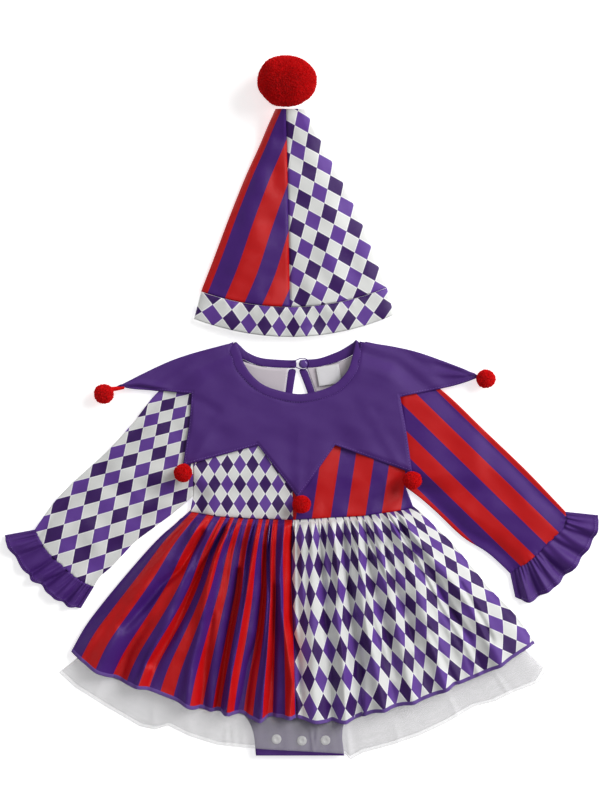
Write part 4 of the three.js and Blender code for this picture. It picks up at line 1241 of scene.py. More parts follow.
        def place(u: Array, v: Array) -> Array:
            """Points of the outer face."""
            points = plan(u, v)
            x, y = points.T
            d = DRESS.depth(x, y)
            base = self.base(x, y) + self.cloth + 2 * self.gap
            stack = self.net_top(x) + self.net + self.air - base
            folds = self.fold_scale * sum(pleat.rise(x, y) for pleat in pleats)
            loft = 8.0 - 2.8 * ease((v - 0.6) / 0.4) + folds + self.gathering(side, u, v) + crumple(x, y)
            soft = ease(d / 16) * mix(0.45, 1.0, ease(v / 0.12))
            seam = 0.8 * bump(x - (-2 + 3.3 * ease((v - 0.3) / 0.7)), 1.3)
            lift = ease((d + 2) / 9) * np.maximum(0, stack) + np.maximum(0.15, loft * soft) - seam * ease(loft)
            points[:, 1] -= 0.3 * np.clip(folds, -7, 7) * ease((v - 0.8) / 0.2)
            sewn = np.minimum(DRESS.high(x, y) - 0.5, base + lift + self.cloth)
            return laid(points, mix(sewn, base + lift + self.cloth - 0.3, ease((v - 0.008) / 0.03)))

        def cut(u: Array, v: Array) -> Array:
            """Places on the flat cloth."""
            width = mix(self.waist_fullness, self.fullness, v)
            return np.column_stack([side.sign * u * width, -v * self.length])

        def pattern(u: Array, v: Array) -> Array:
            """Where the print falls; towards the right side seam its rows draw together."""
            drawn = 1 + 0.04 * ease((u - 0.35) / 0.65) * (side is Side.RIGHT)
            along = (1 - v) * self.length * drawn - self.length
            return np.column_stack([side.sign * u * self.fullness, along])

        return Cloth(f"skirt_front_{side.value}_cloth", 260, 84, place, cut, self.finishes.skirt[side],
                     self.finishes.wrong_side, pattern=pattern)

    def back(self, side: Side) -> Cloth:
        """The back of one half, which lies on the table with the same kind of folds."""
        plan = self.plan(side)

        def place(u: Array, v: Array) -> Array:
            """Points of the outer face, which looks down."""
            points = plan(u, v)
            x, y = points.T
            inner = ease(DRESS.depth(x, y) / 14)
            fold = 0.45 * (1 + np.sin(2 * np.pi * (7 * u + 0.03 * np.sin(6 * u)) + 1)) * ease(v / 0.3) * inner
            fine = 0.4 * (1 + np.sin(2 * np.pi * 24 * u)) * np.exp(-((v / 0.12) ** 1.3)) * inner
            return laid(points, self.base(x, y) + np.minimum(fold + fine, 0.95))

        def cut(u: Array, v: Array) -> Array:
            """Places on the flat cloth."""
            return np.column_stack([side.sign * u * self.back_width, -v * self.length])

        return Cloth(f"skirt_back_{side.value}_cloth", 120, 36, place, cut, self.finishes.skirt[side],
                     self.finishes.wrong_side, facing=Facing.DOWN)

    def overlock(self, cloth: Cloth, side: Side) -> None:
        """The overlocked edge of the hem: a thread-covered ribbon that folds over the cut edge."""
        def place(u: Array, v: Array) -> Array:
            """Points of the ribbon's upper face."""
            points = cloth.place(u, 1 - 0.016 * (1 - v))
            points[:, 2] += 0.22 + 0.12 * np.sin(2 * np.pi * (u * 210 + 0.5 * v))
            points[:, 1] -= 0.5 * v
            return points

        thread = self.finishes.overlock
        ribbon = Cloth(f"skirt_hem_{side.value}", 840, 4, place, cloth.cut, thread, thread, thick=1.2)
        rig.slot(ribbon.build(), "purple_satin")

    def build(self) -> None:
        for side in Side:
            front = self.front(side)
            declare(front, SKIRT_SLOT[side], ["petticoat_front"], "gathered")
            self.overlock(front, side)
            declare(self.back(side), SKIRT_SLOT[side], [], "gathered")


@dataclass
class Underskirt:
    """The net petticoat and the romper bottom with its three snaps, which lie inside the skirt."""

    finishes: Finishes
    skirt: Skirt
    net_side: dict = field(default_factory=lambda: {
        Side.LEFT: ((-92, -3), (-106, -14), (-126, -38), (-150, -68), (-176, -100), (-197, -122), (-215, -140),
                    (-236, -157)),
        Side.RIGHT: ((106, 0), (126, -14), (144, -28), (158, -48), (173, -69), (205, -108), (230, -134),
                     (251, -154))})
    net_hem: tuple = ((-236, -157), (-220, -172), (-188, -192), (-155, -211), (-140, -214), (-127, -210),
                      (-107, -220), (-79, -229), (-52, -232), (-20, -234), (20, -236), (50, -238), (55, -244),
                      (68, -237), (96, -229.5), (124, -220), (152, -207), (179, -191), (200, -186), (216, -178),
                      (244, -167), (251, -154))
    romper_left: tuple = ((-104, -40), (-112, -90), (-108, -132), (-80, -172), (-46, -206))
    romper_right: tuple = ((112, -40), (120, -90), (114, -130), (84, -172), (50, -206))
    snaps: tuple = ((-18.4, -223.5), (7, -225), (30.5, -224.6))
    snap_profile: tuple = ((0.0, 0.0), (0.96, 0.0), (1.0, 0.12), (1.0, 0.42), (0.95, 0.62), (0.84, 0.84),
                           (0.68, 0.97), (0.5, 1.0), (0.42, 0.93), (0.36, 0.72), (0.28, 0.62), (0.0, 0.6))
    net_cut: tuple[float, float, float] = (360.0, 500.0, 232.0)  # width at the waist, at the hem, and length
    pleats: tuple = (
        Pleat(((-70, -200), (-68, -234)), (1.6, 2.2), (1.2, 1.4)), Pleat(((-62, -200), (-60, -234)), (1.4, 2),
                                                                         (1.2, 1.2)),
        Pleat(((-54, -200), (-51, -234)), (1.4, 2), (1.0, 1.2)), Pleat(((15, -206), (18, -236)), (1.2, 1.2),
                                                                       (1.5, 1.2)),
        Pleat(((24, -206), (19, -236)), (1.2, 1.2), (1.5, 1.2)), Pleat(((52, -206), (55, -243)), (2.5, 2.2),
                                                                       (2.0, 1.8)),
        Pleat(((-142, -180), (-140, -213)), (2, 3), (1.4, 1.6)), Pleat(((-110, -190), (-104, -220)), (2, 3),
                                                                       (1.0, 1.4)),
        Pleat(((96, -190), (104, -227)), (2, 3), (1.2, 1.4)), Pleat(((150, -170), (162, -202)), (2, 3),
                                                                    (1.2, 1.6)),
        Pleat(((-190, -160), (-200, -185)), (2, 3), (1.2, 1.4)), Pleat(((196, -150), (214, -180)), (2, 3),
                                                                       (1.2, 1.4)))

    def petticoat(self, front: bool) -> Cloth:
        """The front or back of the net petticoat."""
        by = 0.0 if front else 0.012
        sides = {side: Curve([(x * (1 - by * (i > 0)), y * (1 - by * (i > 0)) - by * 4 * (i > 0))
                              for i, (x, y) in enumerate(self.net_side[side])]) for side in Side}
        top = Curve(((-92, -3), (-38, -6.5), (0, -7.5), (40, -6), (106, 0)))
        hem = Curve([(x * (1 - by), y * (1 - by)) for x, y in self.net_hem], smooth=False).by_share()
        plan = patch(top, hem, sides[Side.LEFT], sides[Side.RIGHT])

        def place(u: Array, v: Array) -> Array:
            """Points of the outer face."""
            points = plan(u, v)
            x, y = points.T
            frill = ease((v - 0.82) / 0.1)
            if not front:
                return laid(points, 2.5 + 0.25 * np.sin(u * 150) * frill)
            near = np.min([np.hypot(x - sx, y - sy) for sx, sy in self.snaps], axis=0)
            over = 2.4 * (1 - ease((near - 16) / 14))
            ruck = 0.45 * np.sin(u * 170 + 3 * np.sin(11 * u)) + 0.3 * np.sin(u * 93 + 1)
            fold = sum(p.rise(x, y) for p in self.pleats)
            gathered = frill * (np.maximum(-0.3, ruck) * 0.6 + fold)
            return laid(points, self.skirt.net_top(x) + over + self.skirt.net - 0.35 + gathered)

        def cut(u: Array, v: Array) -> Array:
            """Places on the flat net."""
            waist, hem, length = self.net_cut
            return np.column_stack([(u - 0.5) * mix(waist, hem, v), -v * length])

        name, columns, rows = ("petticoat_front_net", 330, 50) if front else ("petticoat_back_net", 180, 30)
        return Cloth(name, columns, rows, place, cut, self.finishes.net, self.finishes.net, thick=0.3,
                     facing=Facing.UP if front else Facing.DOWN)

    def romper(self, front: bool) -> Cloth:
        """The front or back of the romper bottom."""
        by, foot = (0.0, -240.0) if front else (1.5, -238.0)
        top_left, top_right = (-94 + by, -6.5), (104 - by, -4)
        foot_left, foot_right = (-39 + by, foot), (49 - by, foot)
        near = Curve([top_left, *((x + by, y) for x, y in self.romper_left), foot_left])
        far = Curve([top_right, *((x - by, y) for x, y in self.romper_right), foot_right])
        plan = patch(Curve((top_left, (0, -7.5), top_right)), Curve((foot_left, foot_right)), near, far)
        base = self.skirt.net_top(np.zeros(1))[0] - self.skirt.cloth - self.skirt.air
        low = base if front else base - self.skirt.cloth - self.skirt.air

        def place(u: Array, v: Array) -> Array:
            """Points of the outer face."""
            points = plan(u, v)
            if not front:
                return laid(points, np.full(len(u), low))
            placket = 0.35 * bump(v - 0.885, 0.004) - 0.2 * bump(v - 0.9, 0.006)
            wave = 0.2 * np.sin(u * 21) * ease((v - 0.8) / 0.1)
            return laid(points, low + self.skirt.cloth - 0.1 + wave - np.abs(placket))

        return Cloth(f"romper_{'front' if front else 'back'}_cloth", 44, 96, place, plan, self.finishes.purple,
                     self.finishes.purple_inside, facing=Facing.UP if front else Facing.DOWN)

    def build(self) -> None:
        below = {True: ("romper_front", "romper_back"), False: ("skirt_back_left", "petticoat_back")}
        for front, (net_on, romper_on) in below.items():
            declare(self.petticoat(front), "white_net", [net_on], "gathered")
            declare(self.romper(front), "purple_satin", [romper_on], "laid")
        for index in (1, 2, 3):
            turned(f"snap_{index}_cap", f"snap_{index}", self.snap_profile, self.finishes.snap, "white_plastic")


def turned(name: str, node: str, profile: Sequence[tuple[float, float]], material: bpy.types.Material,
           slot: str) -> None:
    """Builds a round piece in the box of its node, spun from a profile.

    Args:
        name: The piece's name.
        node: The node that it stands for.
        profile: Radii and heights, as shares of the box's.
        material: Its finish.
        slot: The record's material slot.
    """
    low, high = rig.box(node)
    foot = Vector(((low.x + high.x) / 2, (low.y + high.y) / 2, low.z))
    radius, height = (high.x - low.x) / 2, high.z - low.z
    bm = bmesh.new()
    verts = [bm.verts.new((r * radius, 0.0, z * height)) for r, z in profile]
    edges = [bm.edges.new(pair) for pair in zip(verts[:-1], verts[1:])]
    bmesh.ops.spin(bm, geom=verts + edges, axis=(0, 0, 1), cent=(0, 0, 0), angle=2 * math.pi, steps=40,
                   use_merge=True)
    bmesh.ops.remove_doubles(bm, verts=bm.verts, dist=1e-6)
    bmesh.ops.recalc_face_normals(bm, faces=bm.faces)
    bmesh.ops.translate(bm, verts=bm.verts, vec=foot)
    for face in bm.faces:
        face.smooth = True
    stand_for(make_object(name, bm, [material]), node, slot)


# ---- Collar and neck ----------------------------------------------------------------------------


@dataclass
class Collar:
    """The jester collar: one front piece with five points, and two back pieces below the panels."""

    finishes: Finishes
    bodice: Bodice
    front_rays: tuple = (
        ((-68, 171), (-122, 155), (-178, 128)), ((-66, 161), (-103, 121.5)), ((-62, 151.5), (-105.5, 92)),
        ((-54, 139), (-112, 49)), ((-35, 121.2), (-37, 70)), ((3, 112), (3, 17)), ((40, 120.5), (40, 70)),
        ((60, 139.5), (117, 42)), ((66.5, 152), (110.5, 88)), ((69, 161.5), (105, 118)),
        ((70.5, 173.5), (125, 162), (185, 138.6)))
    back_rays: dict = field(default_factory=lambda: {
        Side.LEFT: (((-68, 171), (-122, 155), (-174, 128)), ((-62, 161), (-103, 120)),
                    ((-44, 151.5), (-110, 52)), ((-25, 147), (-44, 66))),
        Side.RIGHT: (((70.5, 173.5), (125, 161), (181, 139)), ((64, 163), (104, 117)), ((48, 154.5), (114, 46)),
                     ((29, 149), (46, 66)))})
    neck_edge: tuple = ((-61.5, 172.5), (-60.5, 161), (-57.5, 151), (-48, 137), (-33, 124.5), (2, 115.3),
                        (38.5, 123.5), (56.5, 141.5), (62.5, 154), (64, 164), (64.5, 173.5))
    creases: tuple = (
        Pleat(((-172, 130), (-156, 132.5), (-134, 128)), (1.8, 3.5), (2.2, 1.2)),
        Pleat(((-170, 126.5), (-152, 127.4), (-137, 125)), (1.5, 1.8), (-2.8, -2.0)),
        Pleat(((178, 140), (164, 144), (146, 148)), (1.3, 2.5), (-2.4, -0.8)),
        Pleat(((178, 139), (166, 137), (150, 136)), (1.3, 2.8), (-2.2, -0.6)),
        Pleat(((176, 141), (160, 140), (140, 142)), (1.2, 3), (1.2, 0.8)),
        Pleat(((172, 146), (152, 153), (128, 157)), (1.6, 3), (1.0, 0.6)),
        Pleat(((-98, 60), (-84, 84), (-66, 112)), (5, 8), (1.1, 0.6)),
        Pleat(((102, 54), (86, 82), (68, 112)), (5, 8), (1.1, 0.6)),
        Pleat(((4, 28), (3, 60), (6, 96)), (5, 10), (1.2, 0.6)),
        Pleat(((-78, 104), (-90, 112), (-100, 116)), (5, 5), (-0.8, -0.6)),
        Pleat(((80, 104), (92, 110), (102, 114)), (5, 5), (-0.8, -0.6)))

    # The red tie of the left shoulder's pompom.
    stub_stations: tuple = (((-184, 128), (-184, 123.2), 9.8), ((-177, 128.6), (-177, 124.4), 9.4),
                            ((-170, 128.8), (-170, 126), 8.6))
    tip_sag: float = 17.55  # fullness of the lower edge of the right shoulder point

    def tip_rise(self, x: Array) -> Array:
        """How far the shoulder points stand up."""
        return 3.2 * ease((np.abs(x) - 140) / 40)

    def front(self) -> Cloth:
        """The front piece, which lies on the bodice and the sleeve heads."""
        rays = fan([Curve(ray) for ray in self.front_rays])
        neck = Curve(self.neck_edge)

        def plan(u: Array, v: Array) -> Array:
            """Plan; the neck edge runs under the binding, and the right shoulder point is full below."""
            hang = np.clip((u - 0.9) / 0.1, 0, 1)
            full = -self.tip_sag * hang * hang * (1 - hang) * v**3
            points = rays(u, v) + (1 - ease(v / 0.3))[:, None] * (neck(u) - rays(u, np.zeros_like(v)))
            return points + np.column_stack([np.zeros(len(u)), full])

        def place(u: Array, v: Array) -> Array:
            """Points of the outer face."""
            points = plan(u, v)
            x, y = points.T
            d = DRESS.depth(x, y)
            over = DRESS.high(x, y) + 2.3 - 1.3 * (1 - ease(v / 0.07))
            on = np.where(d >= 0, over, mix(over, 5.2, ease(-d / 10)))
            pillow = 0.8 * ease((1 - v) / 0.06) - 0.5 * bump(v - 0.955, 0.012)
            fold = sum(p.rise(x, y) for p in self.creases) * ease((1 - v) / 0.05)
            uneven = 0.8 * crumple(x, y) * ease((1 - v) / 0.1)
            return laid(points, on + self.tip_rise(x) + 0.9 + pillow + fold + uneven)

        return Cloth("collar_front_cloth", 240, 40, place, plan, self.finishes.purple,
                     self.finishes.purple_inside, thick=1.0)

    def back(self, side: Side) -> Cloth:
        """One back piece, under the back panel."""
        keyhole = [(x + 0.2 * side.sign, y) for x, y in self.bodice.keyhole[side]]
        slit = Curve([*keyhole, (-2 + 0.3 * side.sign, 60)], smooth=False)
        plan = fan([*(Curve(ray) for ray in self.back_rays[side]), slit])

        def place(u: Array, v: Array) -> Array:
            """Points of the outer face, which looks down."""
            points = plan(u, v)
            x, y = points.T
            d = DRESS.depth(x, y)
            hang = np.where(d < 0, 2.6 * ease(-d / 10) + self.tip_rise(x), 0)
            return laid(points, 0.7 * (1 - ease(d / 9)) + hang + 0.15)

        return Cloth(f"collar_back_{side.value}_cloth", 64, 30, place, plan, self.finishes.purple,
                     self.finishes.purple_inside, thick=0.9, facing=Facing.DOWN)

    def build(self) -> Cloth:
        front = self.front()
        declare(front, "purple_satin", ["bodice_front_left", "bodice_front_right"], "laid")
        for side in Side:
            declare(self.back(side), "purple_satin", [], "laid")
        stub = Tape("shoulder_left_stub", self.stub_stations, 3.2, columns=14, rows=30, flatness=1.0)
        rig.slot(stub.build(self.finishes.pile), "red_pile")
        return front


@dataclass(frozen=True)
class Tape:
    """A folded strip or a round cord swept along stations of (free edge, sewn edge, height)."""

    name: str
    stations: tuple
    thick: float
    columns: int = 20
    rows: int = 220
    flatness: float = 0.6  # 1 is a round section, less is boxier

    def place(self, u: Array, v: Array) -> Array:
        """Points of the surface: u goes round the section, v along the strip."""
        free = Curve([(*a, z) for a, _, z in self.stations])
        sewn = Curve([(*b, z) for _, b, z in self.stations])
        a, b = free(v), sewn(v)
        middle, half = (a + b) / 2, (b - a) / 2
        ahead = (free(v + 0.002) + sewn(v + 0.002) - free(v - 0.002) - sewn(v - 0.002)) / 2
        up = np.cross(ahead, half)
        up *= (np.sign(up[:, 2]) / np.linalg.norm(up, axis=1))[:, None]
        end = np.sqrt(1 - (1 - np.clip(np.minimum(v, 1 - v) * self.rows / 3, 0, 1)) ** 2)
        turn = 2 * np.pi * u
        wide = np.sign(np.cos(turn)) * np.abs(np.cos(turn)) ** self.flatness
        high = np.sign(np.sin(turn)) * np.abs(np.sin(turn)) ** self.flatness
        ruck = 1 + 0.05 * np.sin(230 * v + 2 * np.sin(31 * v))
        return middle + half * (wide * end)[:, None] + up * (high * end * ruck * self.thick / 2)[:, None]

    def cut(self, u: Array, v: Array) -> Array:
        """Places on the strip opened flat."""
        steps = np.linspace(0, 1, 200)
        middle = (self.place(np.zeros(200), steps) + self.place(np.full(200, 0.5), steps)) / 2
        return np.column_stack([u * 20, np.interp(v, steps, run_of(middle))])

    def build(self, material: bpy.types.Material) -> bpy.types.Object:
        """Builds the strip as a closed body."""
        cloth = Cloth(self.name, self.columns, self.rows, self.place, self.cut, material, material, thick=0,
                      facing=Facing.OUT)
        return cloth.build()


@dataclass
class Neck:
    """The neck binding, the bound keyhole behind it, its button and loop, and the blank label."""

    finishes: Finishes
    above: float = 2.9  # height of the binding's middle over the lower face of the front cloth
    label_size: tuple[float, float] = (23.2, 19.0)
    # Stations of the neck binding; None where it lies on the front.
    stations: tuple = (
        ((1.6, 155), (1.6, 147), 1.6), ((-10, 155), (-9, 147), 1.6), ((-33, 157), (-27, 148), 1.6),
        ((-47, 162.5), (-41, 151), 1.8), ((-55, 169.5), (-54, 157), 2.4), ((-59, 172.5), (-66.5, 165.5), 5.6),
        ((-54, 161), (-63, 157), 8.4), ((-51, 152), (-60, 147), None), ((-43, 140), (-49.5, 134.8), None),
        ((-31, 130), (-34.6, 122), None), ((-14, 124), (-16.5, 115.4), None), ((5, 121), (5, 112.8), None),
        ((23, 124), (26, 116), None), ((39.5, 131), (45, 124), None), ((52, 144), (60.5, 141.5), None),
        ((57, 158), (66, 157), 8.6), ((60.5, 174), (68.3, 168), 5.6), ((57.5, 172), (59, 161), 2.4),
        ((48, 166), (46, 154.4), 1.8), ((39.5, 162), (33, 150.3), 1.6), ((23, 156.5), (20, 147.6), 1.6),
        ((3.6, 155.2), (3.6, 147), 1.6))
    keyhole: tuple = (
        ((1.4, 146.3), (-6.6, 146.3), 1.4), ((-2.4, 122), (-9.8, 122), 1.4), ((-3.6, 109), (-11.5, 108), 1.4),
        ((-0.6, 97.5), (-8.4, 92), 1.4), ((5, 91), (4, 82.4), 1.4), ((10.6, 97.5), (15.6, 92), 1.4),
        ((13.6, 109), (21.2, 108), 1.4), ((12.6, 121.5), (20.4, 121.5), 1.4), ((3.2, 146.3), (11.6, 146.3),
                                                                               1.4))
    loop: tuple = ((-3.4, 153, 3.8), (0.4, 154.4, 4.3), (5, 156.4, 4.4), (10, 156.4, 4.3), (14.0, 153.4, 4.2),
                   (14.0, 148.8, 4.2), (10, 145.8, 4.3), (5, 146.2, 4.4), (0.4, 148, 4.3), (-3.4, 149.4, 3.8))

    button_profile: tuple = ((0, 0), (0.82, 0), (0.96, 0.14), (1.0, 0.34), (0.97, 0.55), (0.86, 0.76),
                             (0.66, 0.92), (0.4, 0.99), (0, 1.0))

    def build(self) -> tuple[Tape, Tape]:
        """Builds the pieces of the neck; returns the forms of both bindings."""
        on_front = [float(DRESS.high(*np.array(sewn, float)[:, None])[0]) + self.above
                    for _, sewn, _ in self.stations]
        over = [(a, b, lies if z is None else z) for (a, b, z), lies in zip(self.stations, on_front)]
        neck = Tape("neck_binding_tape", tuple(over), 2.4)
        keyhole = Tape("keyhole_binding_tape", self.keyhole, 2.2, rows=120)
        path = np.array(self.loop)
        run = np.gradient(path[:, :2], axis=0)
        side = np.column_stack([-run[:, 1], run[:, 0]]) / np.hypot(*run.T)[:, None] * 0.45
        rope = tuple((tuple(p[:2] + s), tuple(p[:2] - s), p[2]) for p, s in zip(path, side))
        loop = Tape("button_loop_cord", rope, 1.1, columns=12, rows=120, flatness=1.0)
        for tape in (neck, keyhole, loop):
            stand_for(tape.build(self.finishes.purple), tape.name.rsplit("_", 1)[0], "purple_satin")
        turned("neck_button_dome", "neck_button", self.button_profile, self.finishes.button, "purple_button")
        self.label()
        return neck, keyhole

    def label(self) -> None:
        """The blank size label, its edges folded under."""
        plan = patch(Curve(((24, 128.6), (47, 132))), Curve(((20.6, 147.2), (43.5, 150.8))),
                     Curve(((24, 128.6), (20.6, 147.2))), Curve(((47, 132), (43.5, 150.8))))

        def place(u: Array, v: Array) -> Array:
            """Points of the upper face."""
            points = plan(u, v)
            x, y = points.T
            fold = 0.25 * ease(np.minimum(np.minimum(u, 1 - u), v) / 0.1)
            return laid(points, DRESS.low(x, y) + 2.3 + 0.5 * (1 - v) ** 2 + fold)

        def cut(u: Array, v: Array) -> Array:
            """Places on the flat tape."""
            return np.column_stack([u, v]) * self.label_size

        tape = self.finishes.label
        declare(Cloth("size_label_tape", 30, 24, place, cut, tape, tape, thick=0.5), "label_tape",
                ["bodice_back_right"], "laid")


# ---- Hat ----------------------------------------------------------------------------------------


@dataclass
class Hat:
    """The pointed hat, pressed flat: two halves and a head band."""

    FOLD: ClassVar[dict] = {Side.LEFT: 0, Side.RIGHT: 2}  # column of the sections with the outer fold

    finishes: Finishes
    cloth: float = 1.2
    gap: float = 0.3
    puff: float = 11.0
    # Sections from the band to the tip: left fold, centre seam, right fold, sag, lift, fullness.
    sections: tuple = (
        ((-94, 223.4), -5, (92, 227.4), 17.6, 0, 1), ((-81, 257), -5.6, (84, 247), 13, 0, 1.05),
        ((-66, 297), -6.4, (66, 294), 8, 0, 1.0), ((-50, 337), -7.2, (46, 336), 4, 0, 0.9),
        ((-36, 368), -8, (29, 368), 2, 2, 0.8), ((-27, 389), -8.6, (18, 389), 1, 7, 0.7),
        ((-19.5, 405), -8.8, (10.5, 405), 0.5, 13, 0.6))
    band_foot: dict = field(default_factory=lambda: {Side.LEFT: (-101, 196), Side.RIGHT: (99, 200)})
    band_seam: tuple = (-4, 178)
    band_width: float = 27.0
    band_turn: float = 110.0  # distance along the flat band from its middle to the right fold
    band_bow: float = 118.0  # radius over which its print closes up towards the folds
    band_shift: float = 1.4  # how far its print lies to the left
    band_stretch: dict = field(default_factory=lambda: {Side.LEFT: 1.2, Side.RIGHT: 1.33})
    slant: float = 0.45  # how far the diamonds slant from the fold
    folds: tuple = (
        Fold((-60, 232), (-40, 290), 9, 1.4), Fold((40, 236), (26, 300), 9, 1.6), Fold((60, 240), (50, 290), 6,
                                                                                       -1.2),
        Fold((-22, 330), (-16, 380), 5, -1.0), Fold((-30, 222), (-26, 262), 6, -0.9), Fold((14, 220), (12, 258),
                                                                                           7, 0.9),
        Fold((-12, 400), (-24, 350), 4, -1.0), Fold((2, 402), (20, 352), 4, -1.0), Fold((78, 232), (66, 262), 5,
                                                                                        0.9),
        Fold((-80, 230), (-70, 262), 5, -0.9))

    def line(self, column: int) -> Curve:
        """One column of the sections as a curve; lone numbers give a curve of one coordinate."""
        return Curve([np.atleast_1d(row[column]) for row in self.sections])

    def at(self, side: Side, s: Array, v: Array) -> Array:
        """Plan of one half: s from the centre seam to the fold, v from the band to the tip."""
        edge = self.line(self.FOLD[side])(v)
        seam = self.line(1)(v)[:, 0]
        seam_y = (self.line(0)(v)[:, 1] + self.line(2)(v)[:, 1]) / 2 - self.line(3)(v)[:, 0]
        return np.column_stack([mix(seam, edge[:, 0], s), mix(seam_y, edge[:, 1], s * s)])

    def low(self, s: Array, v: Array) -> Array:
        """Height of the lower face."""
        return self.line(4)(v)[:, 0] + 2.0 * ease((s - 0.8) / 0.2) * mix(1, 0.5, v)

    def high(self, x: Array, y: Array, s: Array, v: Array) -> Array:
        """Height of the upper face."""
        swell = self.puff + sum(fold.rise(x, y) for fold in self.folds) + 1.6 * crumple(x, y)
        round_off = np.sqrt(np.maximum(0, 1 - s**2.6))
        return self.low(s, v) + 2 * self.cloth + self.gap + self.line(5)(v)[:, 0] * round_off * swell

    def half(self, side: Side) -> Cloth:
        """One half of the cone: a piece folded at its outer edge, from front seam to back seam."""
        def place(u: Array, v: Array) -> Array:
            """Points of the outer face."""
            s = np.sin(np.pi * u)
            points = self.at(side, s, v)
            x, y = points.T
            low, high = self.low(s, v), self.high(x, y, s, v)
            width = np.hypot(*(self.at(side, np.ones_like(v), v) - self.at(side, np.zeros_like(v), v)).T)
            seam = 1.1 * bump(s * width, 1.2)
            foot = 0.9 * (1 - ease(v / 0.012))
            top = high - seam - foot * np.sqrt(np.maximum(0, 1 - s**2))
            roll = np.sqrt(np.clip(1 - s**8, 0, 1))
            middle = low + 1.35
            return laid(points, middle + (np.where(u <= 0.5, top, low) - middle) * roll)

        def cut(u: Array, v: Array) -> Array:
            """Places on the cloth in the print's directions: out from the fold, and along it."""
            points = self.at(side, np.sin(np.pi * u), v)
            edge = self.at(side, np.ones_like(v), v)
            inward = side.sign * (edge[:, 0] - points[:, 0]) * self.slope(side)
            along = points[:, 1] / self.slope(side) + inward * self.slant
            return np.column_stack([np.where(u <= 0.5, inward, -inward), along])

        return Cloth(f"hat_half_{side.value}_cloth", 100, 66, place, cut, self.finishes.hat[side],
                     self.finishes.wrong_side, facing=Facing.OUT)

    def slope(self, side: Side) -> float:
        """Cosine of the lean of one fold of the cone."""
        (x0, y0), (x1, y1) = (self.sections[end][self.FOLD[side]] for end in (0, -1))
        return abs(y1 - y0) / math.hypot(x1 - x0, y1 - y0)

    def band(self) -> Cloth:
        """The head band, a ring pressed flat that bows like the foot of the cone."""
        def top(c: Array) -> Array:
            """Seam with the cone."""
            left, s = c < 0.5, np.abs(2 * c - 1)
            zero = np.zeros_like(c)
            edge = np.where(left[:, None], self.at(Side.LEFT, s, zero), self.at(Side.RIGHT, s, zero))
            return edge - np.array([0, 0.4])

        def foot(c: Array) -> Array:
            """Hem."""
            s = np.abs(2 * c - 1)
            x, y = np.where(c < 0.5, *(np.array(self.band_foot[side], float)[:, None] for side in Side))
            return np.column_stack([mix(self.band_seam[0], x, s), mix(self.band_seam[1], y, s**2)])

        def across(c: Array, v: Array) -> Array:
            """Plan, from the left fold to the right fold."""
            return mix(top(c), foot(c), v[:, None])

        def high(x: Array, y: Array, c: Array, v: Array) -> Array:
            """Height of the upper face."""
            s = np.abs(2 * c - 1)
            puckers = 0.35 * np.sin(c * 130 + 2 * np.sin(9 * c)) * bump(v - 0.1, 0.2) * (1 - s**4)
            sunk = 0.9 * (1 - ease(v / 0.08)) + 0.5 * ease((v - 0.93) / 0.07)
            swell = 0.5 * bump(v - 0.5, 0.35) - 1.5 * v + puckers - sunk
            return self.high(x, y, s, np.zeros_like(v)) + swell * (1 - s**6)

        tube = FlatTube(across, lambda x, y, c, v: self.low(np.abs(2 * c - 1), np.zeros_like(v)), high)

        def cut(u: Array, v: Array) -> Array:
            """Places on the flat ring."""
            c = round_tube(u)
            x = across(c, v)[:, 0] + self.band_shift
            stretch = np.where(x > 0, self.band_stretch[Side.RIGHT], self.band_stretch[Side.LEFT])
            flat = np.sign(x) * stretch * np.arctan(np.abs(x) / self.band_bow) * self.band_bow
            return np.column_stack([np.where(u <= 0.5, flat, 2 * self.band_turn - flat), -self.band_width * v])

        return Cloth("hat_band_cloth", 220, 20, tube.place, cut, self.finishes.band, self.finishes.wrong_side,
                     facing=Facing.OUT)

    def build(self) -> None:
        forms = [self.half(Side.LEFT), self.half(Side.RIGHT), self.band()]
        for form, slot in zip(forms, ("striped_print", "diamond_print", "diamond_print")):
            declare(form, slot, [], "laid")


# ---- Pompoms and stitches -----------------------------------------------------------------------


@dataclass(frozen=True)
class Pompom:
    """A ball of clipped yarn: every facet of its core grows a tuft of its own length."""

    node: str
    detail: int  # how often the core is subdivided
    seed: int
    tuft: float  # length of the longest tufts, in mm
    lumps: float
    shift: tuple[float, float] = (0.0, 0.0)  # from the middle of the node's box, in mm

    def build(self, finishes: Finishes) -> None:
        rng = np.random.default_rng(self.seed)
        low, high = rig.box(self.node)
        centre, half = (low + high) / 2 + Vector((*self.shift, 0)) * MM, (high - low) / 2
        bm = bmesh.new()
        bmesh.ops.create_icosphere(bm, subdivisions=self.detail, radius=1.0)
        waves = rng.normal(0, 2.6, (6, 3)), rng.uniform(0, 6.28, 6)
        core = [h - 0.55 * self.tuft * MM for h in half]
        for vert in bm.verts:
            d = np.array(vert.co)
            lump = 1 + self.lumps * float(np.mean(np.sin(waves[0] @ d + waves[1])))
            vert.co = centre + Vector([c * x * lump for c, x in zip(core, d)])
        grown = bmesh.ops.extrude_discrete_faces(bm, faces=bm.faces)["faces"]
        for face in grown:
            middle = face.calc_center_median()
            out = (middle - centre).normalized()
            lean = Vector(rng.normal(0, 0.35, 3))
            move = (out + lean).normalized() * self.tuft * MM * rng.uniform(0.35, 1.0)
            for vert in face.verts:
                vert.co = middle.lerp(vert.co, 0.45) + move
        made = make_object(self.node + "_pile", bm, [finishes.pile])
        stand_for(made, self.node, "red_pile")
        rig.padded(made, 0.8)


